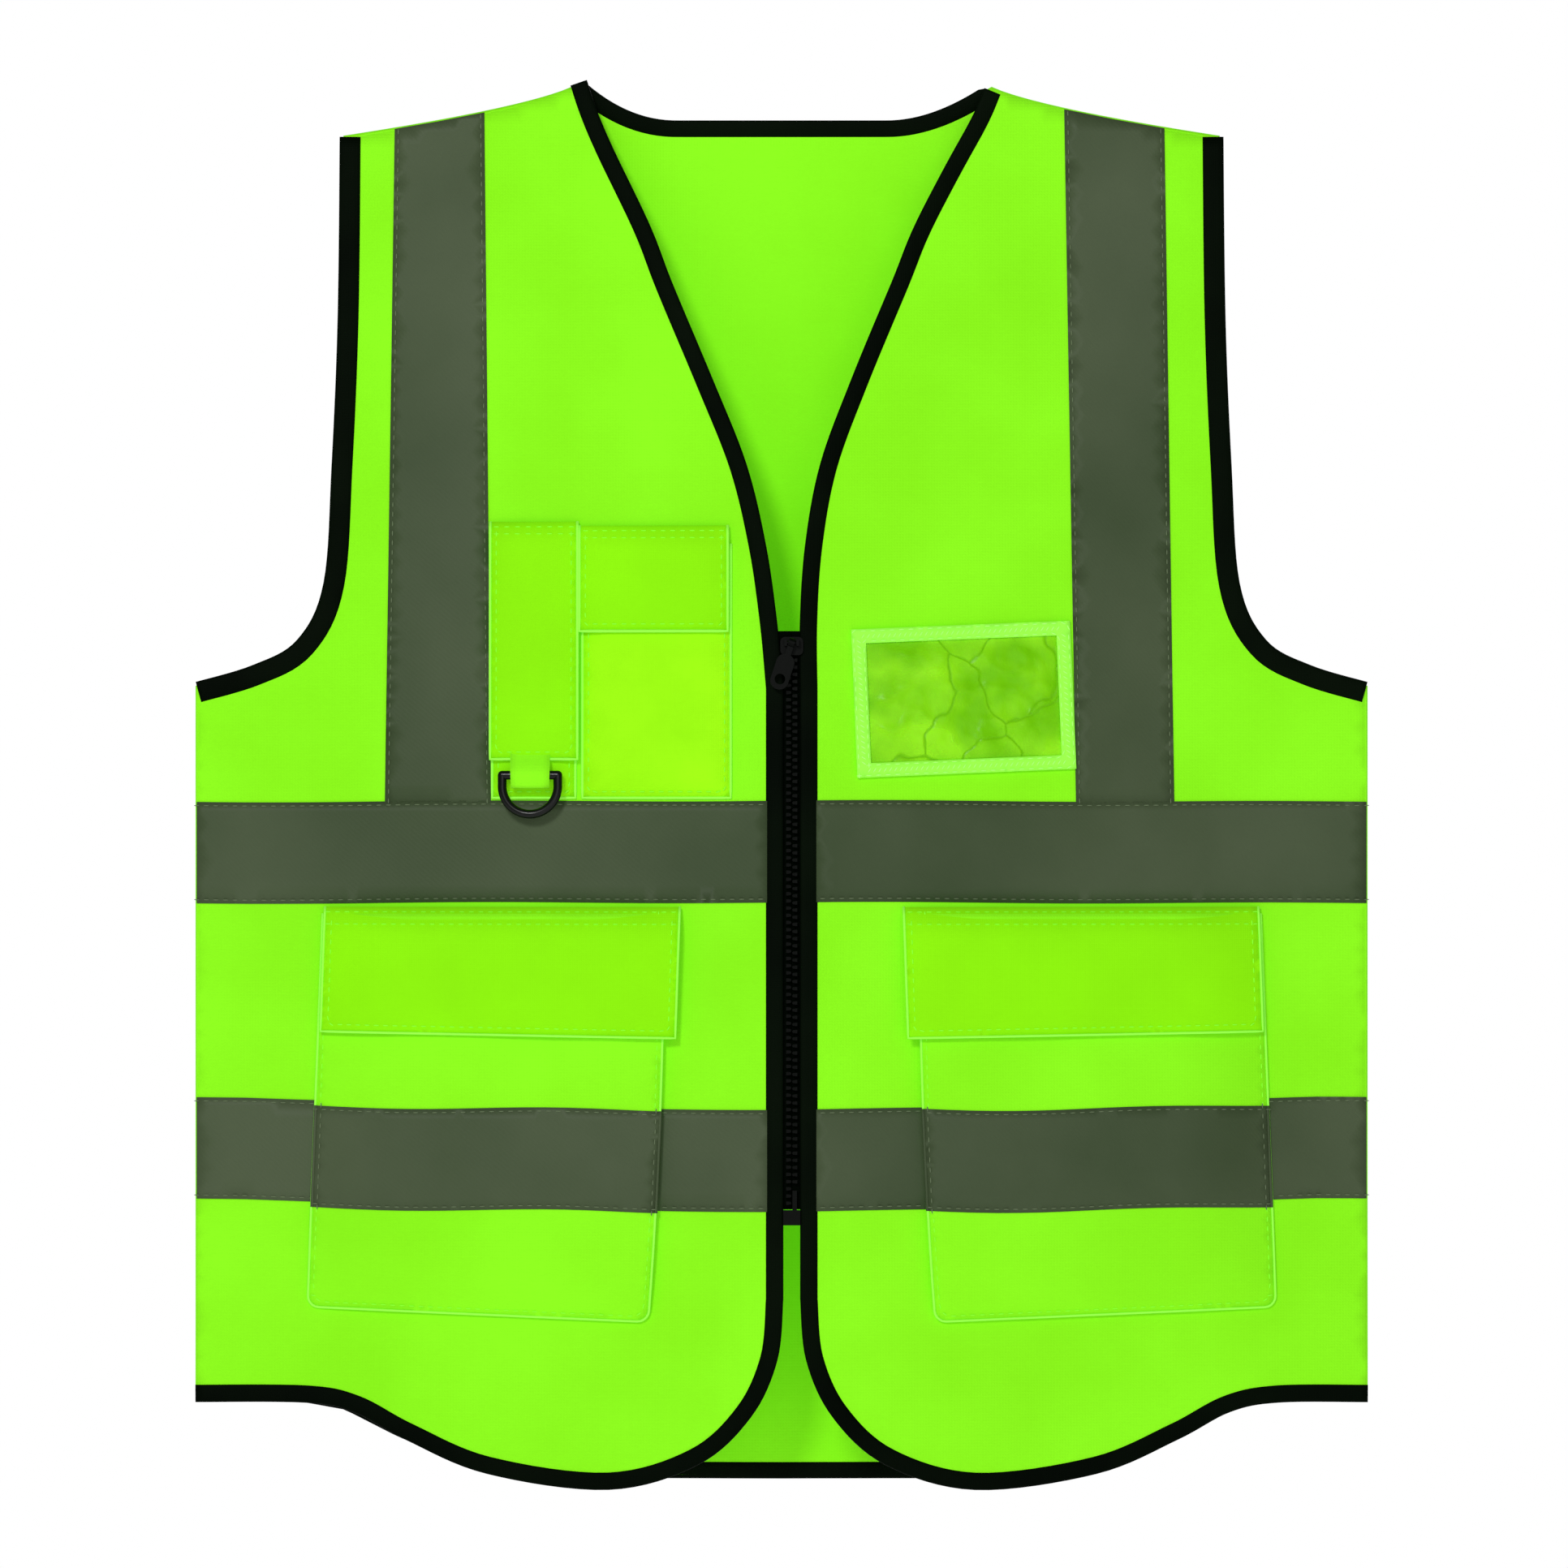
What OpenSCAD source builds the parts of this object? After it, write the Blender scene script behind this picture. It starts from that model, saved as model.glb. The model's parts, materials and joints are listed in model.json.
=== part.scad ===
// High visibility vest with a front zip, pockets and reflective tape.
// It hangs upright with its front towards -Y. The origin lies midway between the neck ends of the
// two shoulder lines, where shoulders or a hanger carry it. Left and right are as seen from the front.

/* [Body] */
// Half of the width across the side seams
half_w = 289; // [280:1:300]
// Distance of each neck end of the shoulder line from the middle
neck_x = 98; // [94:1:102]
// Distance of each outer end of the shoulder line from the middle
shoulder_x = 217; // [214:1:222]
// Drop of the outer end of the shoulder line
shoulder_drop = 28; // [20:1:36]
// Depth of the back behind the shoulder line at its middle
back_depth = 30; // [20:1:45]
// Drop from the shoulder line over which the back reaches its full depth
back_rise = 170; // [140:5:220]
// How far each front leans forward from its fold line
front_lean = 7; // [5:0.5:9]
// Thickness of the shell fabric
cloth_t = 0.8; // [0.6:0.1:1]
// Distance of the zip from the middle of the body
zip_x = 5; // [0:1:6]

/* [Edges] */
// Width of the binding on the front edges and the hem
bind_w = 8.5; // [7:0.5:9]
// Width of the binding round the armholes
arm_bind_w = 10; // [8:0.5:12]
// Thickness of the bindings
bind_t = 2; // [1.6:0.1:2.4]
// Drop of the hem at the side seams
hem_side = 652; // [645:1:660]
// Drop of the middle of the back hem
hem_back = 689; // [680:1:692]
// Lowest drop of the front hem
hem_front = 695; // [690:1:700]

/* [Reflective tape] */
// Width of the reflective tape
tape_w = 50; // [48:1:52]
// Drop of the top edge of the chest tape
chest_drop = 356; // [354:1:358]
// Drop of the top edge of the waist tape
waist_drop = 503; // [500:1:506]
// Distance of the shoulder tapes from the middle of the body
tape_x = 143; // [140:1:145]
// Thickness of the tape
tape_t = 0.4; // [0.3:0.05:0.5]

/* [Zip] */
// Length of the zip below the point of the neck
zip_len = 289; // [280:1:295]
// Drop of the top of the zip
zip_drop = 275; // [270:1:280]
// Distance from one tooth to the next in a row
tooth_pitch = 3.5; // [3:0.25:4]
// Width of the slider
slider_w = 11.2; // [10:0.2:12]
// Length of the slider
slider_h = 9; // [8:0.5:10]
// Length of the pull tab from its eye to its end
pull_len = 24; // [20:1:28]
// Diameter of the hole in the pull tab
pull_hole = 5.2; // [4:0.2:5.6]
// Sideways lean of the pull tab
pull_lean = 18; // [0:1:20]

/* [Pockets] */
// Depth of the hollow in each lower pocket
pocket_depth = 7.4; // [6:0.2:8]
// Depth of the hollow in each chest pocket
chest_pocket_depth = 4.6; // [4.4:0.2:6]
// Length of the flaps of the lower pockets
flap_h = 64; // [60:1:68]
// Drop of the bottom edge of the lower pockets
pocket_bottom = 609; // [604:1:612]
// Wire thickness of the D ring
ring_wire = 4.4; // [3.6:0.2:5]
// Width of the D ring
ring_w = 32; // [30:1:34]
// Height of the D ring
ring_h = 23.6; // [22:0.2:26]

/* [Hidden] */
$fn = 48;
lime = "#8CFA26";
flap_lime = "#8CF200";
back_lime = "#85F314";
silver_green = "#5A664D";
trim_black = "#0A1A08";
zip_black = "#10160F";
clear_vinyl = "#D8F6C8";
frame_lime = "#96FF5A";

seam_gap = 0.1;
edge_gap = 0.4;
back_gap = 0.5;
side_y = 0.6;
hinge_y = 1.5;
behind_hinge = hinge_y - side_y;

// The fold line of each front, from the neck end of the shoulder to the side of the hem
fold_top = [110, -5];
fold_foot = [309, -652];
fold_dir = (fold_foot - fold_top) / norm(fold_foot - fold_top);
fold_in = [fold_dir[1], -fold_dir[0]];
fold_slope = fold_dir[0] / -fold_dir[1];
fold_gap = 1;
side_strip = 4;
corner_drop = 16;

// Layers, counted outwards from the inner face of the cloth
tape_lo = cloth_t + seam_gap;
tape_hi = tape_lo + tape_t;
patch_lo = tape_hi + seam_gap;
front_lo = patch_lo + pocket_depth;
front_hi = front_lo + cloth_t;
hook_t = 0.5;
flap_lo = front_hi + 2 * (seam_gap + hook_t) + seam_gap;
flap_hi = flap_lo + cloth_t;
chest_lo = patch_lo + chest_pocket_depth;
chest_hi = chest_lo + cloth_t;
chest_flap_lo = chest_hi + 2 * (seam_gap + hook_t) + seam_gap;
chest_flap_hi = chest_flap_lo + cloth_t;

edge_half = 4.5;
tooth_in = 0.35;
tooth_out = 2.6;
tooth_h = 1.6;
zip_tape_in = tooth_out + 0.05;
zip_tape_out = 14;
box_h = 7.5;
pin_h = 16;
plate_t = 1.2;
channel_front = 1.4;
channel_back = 2.1;
eye_w = 3;
eye_r = 2.25;
eye_y = -5.4;
eye_z = -3;
ring_bar_z = -343.2;
ring_x = 127.5;

// A smooth curve through the points p, with n steps from each to the next
function smooth(p, n = 4) = [
    for (i = [0 : len(p) - 2])
        let (a = p[max(i - 1, 0)], b = p[i], c = p[i + 1], d = p[min(i + 2, len(p) - 1)])
            for (k = [0 : n - 1])
                let (t = k / n)
                    (2 * b + (c - a) * t + (2 * a - 5 * b + 4 * c - d) * t * t
                        + (3 * b - a - 3 * c + d) * t * t * t) / 2,
    p[len(p) - 1]
];

// The path moved sideways by w, to the left of its direction
function beside(path, w) = [
    for (i = [0 : len(path) - 1])
        let (t = path[min(i + 1, len(path) - 1)] - path[max(i - 1, 0)])
            path[i] + w * [-t[1], t[0]] / norm(t)
];
function backwards(path) = [for (i = [len(path) - 1 : -1 : 0]) path[i]];
function strip(path, w) = concat(path, backwards(beside(path, w)));

// Distances from the zip: s is 1 on the right and -1 on the left, and x is counted from the middle
function from_zip(s, x) = x - s * zip_x;

// The fold line's distance from the zip at height z, and its height at distance u, moved out by e
function fold_u(z, e = 0) = fold_top[0] + e / -fold_dir[1] + (fold_top[1] - z) * fold_slope;
function fold_z(u, e = 0) = fold_top[1] - (u - fold_top[0] - e / -fold_dir[1]) / fold_slope;

// How far a point of the front lies inside the fold line, seen from the front
function inside_fold(p) = (p - fold_top) * fold_in;

// Where a point seen from the front lies on the flat cloth before it leans forward
function flat(p) =
    let (d = inside_fold(p), on_cloth = (d - behind_hinge * sin(front_lean)) / cos(front_lean))
        p + fold_in * (on_cloth - d);
function flat_path(path) = [for (p = path) flat(p)];

// Height of the shoulder line, and of the neck edge of the back, at distance x from the middle
function shoulder_t(x) = max(0, min(1, (abs(x) - neck_x) / (shoulder_x - neck_x)));
function ridge_z(x) = -shoulder_drop * pow(shoulder_t(x), 0.65);
function neck_t(x) = max(0, min(1, (neck_x - abs(x)) / 46));
function neck_z(x) = -2 - 17.5 * (1 - pow(1 - neck_t(x), 2));

// Inner face of the back at [x, z]
function rise(t) = sin(90 * max(0, min(1, t)));
function back_y(p) =
    side_y + back_depth * (1 - pow(p[0] / half_w, 2)) * rise((ridge_z(p[0]) - p[1]) / back_rise);

// Armhole edge from the shoulder to the side seam, outside the binding, counted from the middle
function armhole() = concat(
    smooth([[shoulder_x + 1, -shoulder_drop], [shoulder_x + 2, -117], [shoulder_x + 5, -190],
        [shoulder_x + 9, -248], [shoulder_x + 22, -276], [shoulder_x + 44, -289]]),
    [[half_w, -297]]
);

// Hem from near the zip to the side, and the whole front edge from the neck to the side of the hem
hem_rise = [[150, -686], [190, -670], [216, -656.5], [240, -hem_side]];
function hem_path(side_u) = smooth(concat(
    [[edge_half, -600], [7, -630], [20, -658], [46, -682], [90, -hem_front]],
    hem_rise, [[side_u, -hem_side]]));
neck_path = smooth([[neck_x, -2], [90, -22], [66, -70], [54, -100], [34, -148], [18, -190],
    [9.5, -230], [5.5, -268], [edge_half, -300]]);

// The point of the neck lies off the middle, so its sides run apart from the zip's middle
neck_skew = 5;
function skewed(s, p) =
    let (t = max(0, min(1, (-2 - p[1]) / 298))) p - [s * neck_skew * sin(180 * pow(t, 0.85)), 0];
function neck_side(s) = [for (p = neck_path) skewed(s, p)];
function front_edge(s) = [
    for (p = concat(neck_side(s), hem_path(from_zip(s, half_w) - side_strip - fold_gap)))
        if (p[1] < -corner_drop) p
];

// Draws a flat shape of the front, [distance from the zip, height], between two layers
module layer(lo, hi) {
    translate([0, -lo, 0]) rotate([90, 0, 0]) linear_extrude(hi - lo) children();
}

// Puts what is drawn for the right of the zip on side s
module on_side(s) {
    translate([zip_x, 0, 0])
        if (s > 0) children();
        else mirror([1, 0, 0]) children();
}

// The flat side pieces, beyond the fold lines
module on_side_panel(s) {
    on_side(s) translate([0, -side_y, 0]) children();
}

// The fronts, which lean forward from their fold lines
module on_front(s) {
    on_side(s)
        translate([fold_top[0], -hinge_y, fold_top[1]])
            rotate(a = -front_lean, v = [fold_dir[0], 0, fold_dir[1]])
                translate([-fold_top[0], behind_hinge, -fold_top[1]])
                    children();
}

// The zip, from the point of the neck down along the line where the fronts meet
zip_inside = inside_fold([0, -zip_drop]);
zip_y = -hinge_y + behind_hinge / cos(front_lean) - zip_inside * tan(front_lean);
zip_lean = atan(tan(front_lean) * fold_dir[0]);
module on_zip() {
    translate([zip_x, zip_y, -zip_drop]) rotate([-zip_lean, 0, 0]) children();
}

// A curved piece of the back between the lines low and high, from lo to hi outside its inner face
module back_ply(low, high, rows, lo, hi) {
    n = len(low);
    sheet = n * (rows + 1);
    points = [
        for (out = [lo, hi]) for (i = [0 : n - 1]) for (j = [0 : rows])
            let (p = low[i] + (high[i] - low[i]) * j / rows)
                [p[0], back_y(p) + out, p[1]]
    ];
    function at(f, i, j) = f * sheet + i * (rows + 1) + j;
    faces = concat(
        [for (i = [0 : n - 2]) for (j = [0 : rows - 1]) for (h = [0, 1])
            h == 0
                ? [at(1, i, j), at(1, i + 1, j), at(1, i + 1, j + 1)]
                : [at(1, i, j), at(1, i + 1, j + 1), at(1, i, j + 1)]],
        [for (i = [0 : n - 2]) for (j = [0 : rows - 1]) for (h = [0, 1])
            h == 0
                ? [at(0, i, j), at(0, i + 1, j + 1), at(0, i + 1, j)]
                : [at(0, i, j), at(0, i, j + 1), at(0, i + 1, j + 1)]],
        [for (j = [0 : rows - 1]) [at(0, 0, j), at(1, 0, j), at(1, 0, j + 1), at(0, 0, j + 1)]],
        [for (j = [0 : rows - 1])
            [at(0, n - 1, j), at(0, n - 1, j + 1), at(1, n - 1, j + 1), at(1, n - 1, j)]],
        [for (i = [0 : n - 2]) [at(0, i, 0), at(0, i + 1, 0), at(1, i + 1, 0), at(1, i, 0)]],
        [for (i = [0 : n - 2])
            [at(0, i, rows), at(1, i, rows), at(1, i + 1, rows), at(0, i + 1, rows)]]
    );
    polyhedron(points, faces);
}

// Lines across the back: the half line on the right, mirrored to the left
function whole(half) = concat([for (p = backwards(half)) [-p[0], p[1]]], half);
function hem_z(x) =
    let (d = abs(x), q = concat([[0, -hem_back], [125, -hem_back]], hem_rise,
        [[half_w, -hem_side]]))
        lookup(d, q);

// Places of the points of the neck edge and the shoulder line, and the right half of the back
// panel's top edge
shoulder_columns = [neck_x, 104, 112, 125, 152, 180, shoulder_x - arm_bind_w - 0.5];
neck_columns = [8, 30, 52, 62, 72, 82, 90, neck_x - 1];
function back_top() = concat(
    [for (x = neck_columns) [x, neck_z(x) - bind_w - edge_gap]],
    [for (x = shoulder_columns) [x, ridge_z(x)]],
    [for (p = beside(armhole(), -arm_bind_w - edge_gap)) if (p[1] < -40 && p[0] < half_w - 4) p],
    [[half_w, -297 - arm_bind_w - 2 * edge_gap]]
);
function back_bottom(top) = [for (p = top) [p[0], hem_z(p[0]) + bind_w + edge_gap]];

module back_panel() {
    top = whole(back_top());
    color(back_lime) back_ply(back_bottom(top), top, 9, 0, cloth_t);
}

module back_neck_binding() {
    top = whole([for (x = neck_columns) [x, neck_z(x)]]);
    color(trim_black)
        back_ply([for (p = top) p - [0, bind_w]], top, 1, -0.4, bind_t - 0.4);
}

module back_hem_binding() {
    low = whole([for (x = [20, 60, 100, 125, 150, 170, 190, 203, 216, 228, 240, 265, half_w])
        [x, hem_z(x)]]);
    color(trim_black)
        back_ply(low, [for (p = low) p + [0, bind_w]], 1, -0.4, bind_t - 0.4);
}

// Binding of one armhole: one length on the front and one on the back
module armhole_binding(s) {
    edge = armhole();
    bound = beside(edge, -arm_bind_w);
    low = [for (p = edge) [s * p[0], p[1]]];
    high = [for (p = bound) [s * p[0], p[1]]];
    color(trim_black) {
        on_side(s) translate([0, -side_y, 0])
            layer(-0.2, bind_t - 0.4)
                polygon([for (p = strip(edge, -arm_bind_w)) [from_zip(s, p[0]), p[1]]]);
        if (s > 0) back_ply(high, low, 1, -0.2, bind_t - 0.4);
        else back_ply(low, high, 1, -0.2, bind_t - 0.4);
    }
}
module armhole_binding_left() { armhole_binding(-1); }
module armhole_binding_right() { armhole_binding(1); }

// Side piece of one front: the shoulder, the armhole side and a strip along the side seam
module side_panel(s) {
    inner_arm = beside(armhole(), -arm_bind_w - edge_gap);
    arm = [for (p = inner_arm) if (p[1] < -40 && p[0] < half_w - 4) [from_zip(s, p[0]), p[1]]];
    side_u = from_zip(s, half_w);
    strip_u = side_u - side_strip;
    shoulder = [for (x = shoulder_columns) if (x > neck_x) [from_zip(s, x), ridge_z(x)]];
    color(lime) on_side_panel(s) layer(0, cloth_t) polygon(concat(
        [[neck_x - 6, -corner_drop + 1], [neck_x, -2]],
        shoulder,
        arm,
        [[side_u, -297 - arm_bind_w - 2 * edge_gap], [side_u, -hem_side], [strip_u, -hem_side],
            [strip_u, fold_z(strip_u, fold_gap)],
            [fold_u(-corner_drop + 1, fold_gap), -corner_drop + 1]]
    ));
}
module side_panel_left() { side_panel(-1); }
module side_panel_right() { side_panel(1); }

// Moving part of one front, from the fold line to the bound edge
module front_panel(s) {
    edge = beside(front_edge(s), bind_w + seam_gap);
    side_u = from_zip(s, half_w) - side_strip - fold_gap;
    cloth = concat(
        edge,
        [[side_u, fold_z(side_u, -fold_gap)], [fold_u(-corner_drop, -fold_gap), -corner_drop]]
    );
    color(lime) on_front(s) layer(0, cloth_t) polygon(flat_path(cloth));
}
module front_panel_left() { front_panel(-1); }
module front_panel_right() { front_panel(1); }

module front_binding(s) {
    color(trim_black) on_front(s)
        layer(-0.4, bind_t - 0.4) polygon(flat_path(strip(front_edge(s), bind_w)));
}
module front_binding_left() { front_binding(-1); }
module front_binding_right() { front_binding(1); }

// Reflective tape on the back
module back_shoulder_tape(s) {
    steps = [0 : 4];
    top = [for (i = steps)
        let (x = s > 0 ? tape_x + tape_w * i / 4 : -tape_x - tape_w * (4 - i) / 4)
            [x, ridge_z(x) - 0.5]];
    color(silver_green)
        back_ply([for (p = top) [p[0], -chest_drop + seam_gap]], top, 9,
            cloth_t + back_gap, cloth_t + back_gap + tape_t);
}
module back_shoulder_tape_left() { back_shoulder_tape(-1); }
module back_shoulder_tape_right() { back_shoulder_tape(1); }
module back_band(drop) {
    top = [for (x = [-half_w + 1 : (2 * half_w - 2) / 18 : half_w - 0.9]) [x, -drop]];
    color(silver_green)
        back_ply([for (p = top) p - [0, tape_w]], top, 1,
            cloth_t + back_gap, cloth_t + back_gap + tape_t);
}
module back_chest_tape() { back_band(chest_drop); }
module back_waist_tape() { back_band(waist_drop); }

// Reflective tape on the side pieces, which stops at the fold line
module side_shoulder_tape(s) {
    a = from_zip(s, tape_x);
    b = from_zip(s, tape_x + tape_w);
    color(silver_green) on_side_panel(s) layer(tape_lo, tape_hi) polygon([
        [a, ridge_z(tape_x) - 0.5], [b, ridge_z(tape_x + tape_w) - 0.5],
        [b, fold_z(b, fold_gap)], [a, fold_z(a, fold_gap)]
    ]);
}
module side_shoulder_tape_left() { side_shoulder_tape(-1); }
module side_shoulder_tape_right() { side_shoulder_tape(1); }
module side_tape_ends(s) {
    side_u = from_zip(s, half_w) - seam_gap;
    color(silver_green) on_side_panel(s) layer(tape_lo, tape_hi)
        for (drop = [chest_drop, waist_drop])
            polygon([[fold_u(-drop, fold_gap), -drop], [side_u, -drop],
                [side_u, -drop - tape_w], [fold_u(-drop - tape_w, fold_gap), -drop - tape_w]]);
}
module side_tape_ends_left() { side_tape_ends(-1); }
module side_tape_ends_right() { side_tape_ends(1); }

// Reflective tape on the fronts
module shoulder_tape(s) {
    a = from_zip(s, tape_x);
    b = from_zip(s, tape_x + tape_w);
    foot = -chest_drop + seam_gap;
    color(silver_green) on_front(s) layer(tape_lo, tape_hi) polygon(flat_path([
        [a, fold_z(a, -fold_gap)], [b, fold_z(b, -fold_gap)], [b, foot], [a, foot]
    ]));
}
module shoulder_tape_left() { shoulder_tape(-1); }
module shoulder_tape_right() { shoulder_tape(1); }
module front_band(s, drop) {
    side_u = from_zip(s, half_w) - side_strip - fold_gap;
    foot = drop + tape_w;
    start = edge_half + bind_w + 0.8;
    color(silver_green) on_front(s) layer(tape_lo, tape_hi) polygon(flat_path([
        [start, -drop], [min(side_u, fold_u(-drop, -fold_gap)), -drop],
        [min(side_u, fold_u(-foot, -fold_gap)), -foot], [start, -foot]
    ]));
}
module chest_tape_left() { front_band(-1, chest_drop); }
module chest_tape_right() { front_band(1, chest_drop); }
module waist_tape_left() { front_band(-1, waist_drop); }
module waist_tape_right() { front_band(1, waist_drop); }

// Zip tapes, sewn behind the bindings
module zip_tape(s) {
    top = -zip_drop + 3;
    foot = -zip_drop - zip_len + box_h + 0.5;
    color(zip_black) on_front(s) layer(-1.2, -0.5) polygon(flat_path([
        [zip_tape_in, top], [zip_tape_out, top], [zip_tape_out, foot], [zip_tape_in, foot]
    ]));
}
module zip_tape_left() { zip_tape(-1); }
module zip_tape_right() { zip_tape(1); }

// One row of separate moulded teeth with a stop above them
module zip_teeth(s) {
    row = zip_len - box_h - (s > 0 ? pin_h - box_h + 3 : 2);
    count = floor((row - 4) / tooth_pitch);
    first = s > 0 ? 3 : 3 + tooth_pitch / 2;
    color(zip_black) on_zip() {
        for (i = [0 : count - 1])
            translate([s > 0 ? tooth_in : -tooth_out, -1, -first - i * tooth_pitch - tooth_h])
                cube([tooth_out - tooth_in, 2, tooth_h]);
        translate([s > 0 ? 0.8 : -tooth_out, -1, 0.5]) cube([tooth_out - 0.8, 2, 1.8]);
    }
}
module zip_teeth_left() { zip_teeth(-1); }
module zip_teeth_right() { zip_teeth(1); }

// Box at the foot of the zip, open above and towards the pin
module retaining_box() {
    box_w = 2 * edge_half - 0.6;
    color(zip_black) on_zip() difference() {
        translate([-box_w / 2, -2, -zip_len]) cube([box_w, 4.3, box_h]);
        translate([-0.15, -1.2, -zip_len + 0.8]) cube([box_w, 2.6, box_h]);
    }
}

module insertion_pin() {
    color(zip_black) on_zip()
        translate([tooth_in, -0.9, -zip_len + 1]) cube([tooth_out - tooth_in - 0.1, 1.9, pin_h]);
}

// A rounded rectangle about the origin
module rounded(w, h, r) {
    square([w - 2 * r, h], center = true);
    square([w, h - 2 * r], center = true);
    for (x = [-1, 1]) for (z = [-1, 1])
        translate([x * (w / 2 - r), z * (h / 2 - r)]) circle(r);
}

// Slider: two plates joined by a thin wedge, and a bridge that holds the pull tab
module slider() {
    bridge_x = 2.3;
    post_w = 1.3;
    color(zip_black) on_zip() {
        translate([0, 0, -slider_h / 2]) {
            layer(channel_front, channel_front + plate_t) rounded(slider_w, slider_h, 2.4);
            layer(-channel_back - 1, -channel_back) rounded(slider_w - 1, slider_h, 2.4);
        }
        translate([-0.2, -channel_front - 0.2, -3.5])
            cube([0.4, channel_front + channel_back + 0.4, 3]);
        for (x = [-bridge_x - post_w, bridge_x])
            translate([x, eye_y - 1.1, eye_z - 1.6])
                cube([post_w, -eye_y + 1.1 - channel_front - 0.2, 3.2]);
        translate([0, eye_y, eye_z]) rotate([0, 90, 0])
            cylinder(h = 2 * bridge_x + 1, r = 0.8, center = true);
    }
}

// Pull tab: an eye round the bridge, a neck and a rounded blade with a hole
module pull_tab() {
    blade_h = pull_len - 6;
    color(zip_black) on_zip()
        translate([0, eye_y, eye_z]) rotate([0, pull_lean, 0]) difference() {
            union() {
                rotate([0, 90, 0]) cylinder(h = eye_w, r = eye_r, center = true);
                translate([-eye_w / 2, -0.9, -8]) cube([eye_w, 1.8, 7]);
                translate([0, 0, -6 - blade_h / 2])
                    layer(-0.9, 0.9) rounded(9, blade_h, 4.4);
            }
            rotate([0, 90, 0]) cylinder(h = 5, r = 1.5, center = true);
            translate([0, 0, -pull_len + 5.2]) rotate([90, 0, 0])
                cylinder(h = 4, d = pull_hole, center = true);
        }
}

// Lower pockets. Corners of the pocket at its mouth and at its bottom, counted from the zip
mouth_drop = 416;
pocket_top_u = [62.8, 231.2];
pocket_foot_u = [68, 239.5];
gusset_t = 1;
function pocket_u(i, drop) =
    pocket_top_u[i] + (pocket_foot_u[i] - pocket_top_u[i]) * (drop - mouth_drop)
        / (pocket_bottom - mouth_drop);
pocket_r = 8;
function pocket_corner(i, inset, foot) =
    let (side = i == 0 ? 1 : -1,
        centre = [pocket_u(i, foot) + side * (inset + pocket_r), -foot + pocket_r])
        [for (a = [0 : 22.5 : 90])
            let (turn = i == 0 ? a : 90 - a) centre - pocket_r * [side * cos(turn), sin(turn)]];
function pocket_outline(inset, foot) = flat_path(concat(
    [[pocket_u(0, mouth_drop) + inset, -mouth_drop]],
    pocket_corner(0, inset, foot),
    pocket_corner(1, inset, foot),
    [[pocket_u(1, mouth_drop) - inset, -mouth_drop]]
));
module pocket_gusset(s) {
    color(lime) on_front(s) layer(patch_lo, front_lo - seam_gap) difference() {
        polygon(pocket_outline(0, pocket_bottom));
        translate([0, 0.5]) polygon(pocket_outline(gusset_t, pocket_bottom - gusset_t));
    }
}
module pocket_gusset_left() { pocket_gusset(-1); }
module pocket_gusset_right() { pocket_gusset(1); }
module pocket_front(s) {
    color(lime) on_front(s)
        layer(front_lo, front_hi) polygon(pocket_outline(0, pocket_bottom));
}
module pocket_front_left() { pocket_front(-1); }
module pocket_front_right() { pocket_front(1); }
module pocket_tape(s) {
    a = waist_drop;
    b = waist_drop + tape_w + 4;
    color(silver_green) on_front(s) layer(front_hi + seam_gap, front_hi + seam_gap + tape_t)
        polygon(flat_path([[pocket_u(0, a), -a], [pocket_u(1, a), -a], [pocket_u(1, b), -b],
            [pocket_u(0, b), -b]]));
}
module pocket_tape_left() { pocket_tape(-1); }
module pocket_tape_right() { pocket_tape(1); }

// A rectangle of the front, from its nearest corner to the zip and its top, w wide and h high
module patch(s, u, drop, w, h, lo, hi) {
    corner = flat([u, -drop - h]);
    on_front(s) translate([corner[0], 0, corner[1]]) layer(lo, hi) square([w, h]);
}

// Flaps of the lower pockets: a sewn seam above the mouth, and the flap that folds up from it
flap_u = 55;
flap_w = 176.5;
flap_drop = chest_drop + tape_w + 1.6;
seam_h = 2.6;
patch_w = 60;
patch_h = 20;
patch_drop = 440;
module flap_seam(s) {
    color(flap_lime) patch(s, flap_u, flap_drop, flap_w, seam_h, patch_lo, flap_hi);
}
module flap_seam_left() { flap_seam(-1); }
module flap_seam_right() { flap_seam(1); }
module pocket_flap(s) {
    color(flap_lime)
        patch(s, flap_u, flap_drop + seam_h + 0.4, flap_w, flap_h - seam_h - 0.4, flap_lo, flap_hi);
}
module pocket_flap_left() { pocket_flap(-1); }
module pocket_flap_right() { pocket_flap(1); }
patch_u = flap_u + (flap_w - patch_w) / 2;
module pocket_hook_patch(s) {
    color(lime) patch(s, patch_u, patch_drop, patch_w, patch_h,
        front_hi + seam_gap, front_hi + seam_gap + hook_t);
}
module pocket_hook_patch_left() { pocket_hook_patch(-1); }
module pocket_hook_patch_right() { pocket_hook_patch(1); }
module pocket_loop_patch(s) {
    color(lime) patch(s, patch_u, patch_drop, patch_w, patch_h,
        flap_lo - hook_t - seam_gap / 2, flap_lo - seam_gap / 2);
}
module pocket_loop_patch_left() { pocket_loop_patch(-1); }
module pocket_loop_patch_right() { pocket_loop_patch(1); }

// A chest pocket: sides, bottom and front wall, with the seam of its flap above the mouth
module chest_pocket(u, w, drop, h, seam_u, seam_w, seam_drop) {
    wall = 0.9;
    foot = flat([u, -drop - h]);
    on_front(-1) translate([foot[0], 0, foot[1]]) difference() {
        layer(patch_lo, chest_hi) square([w, h]);
        translate([wall, 0, wall]) layer(patch_lo - 1, chest_lo) square([w - 2 * wall, h]);
    }
    patch(-1, seam_u, seam_drop, seam_w, seam_h, patch_lo, chest_flap_hi);
}

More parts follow.
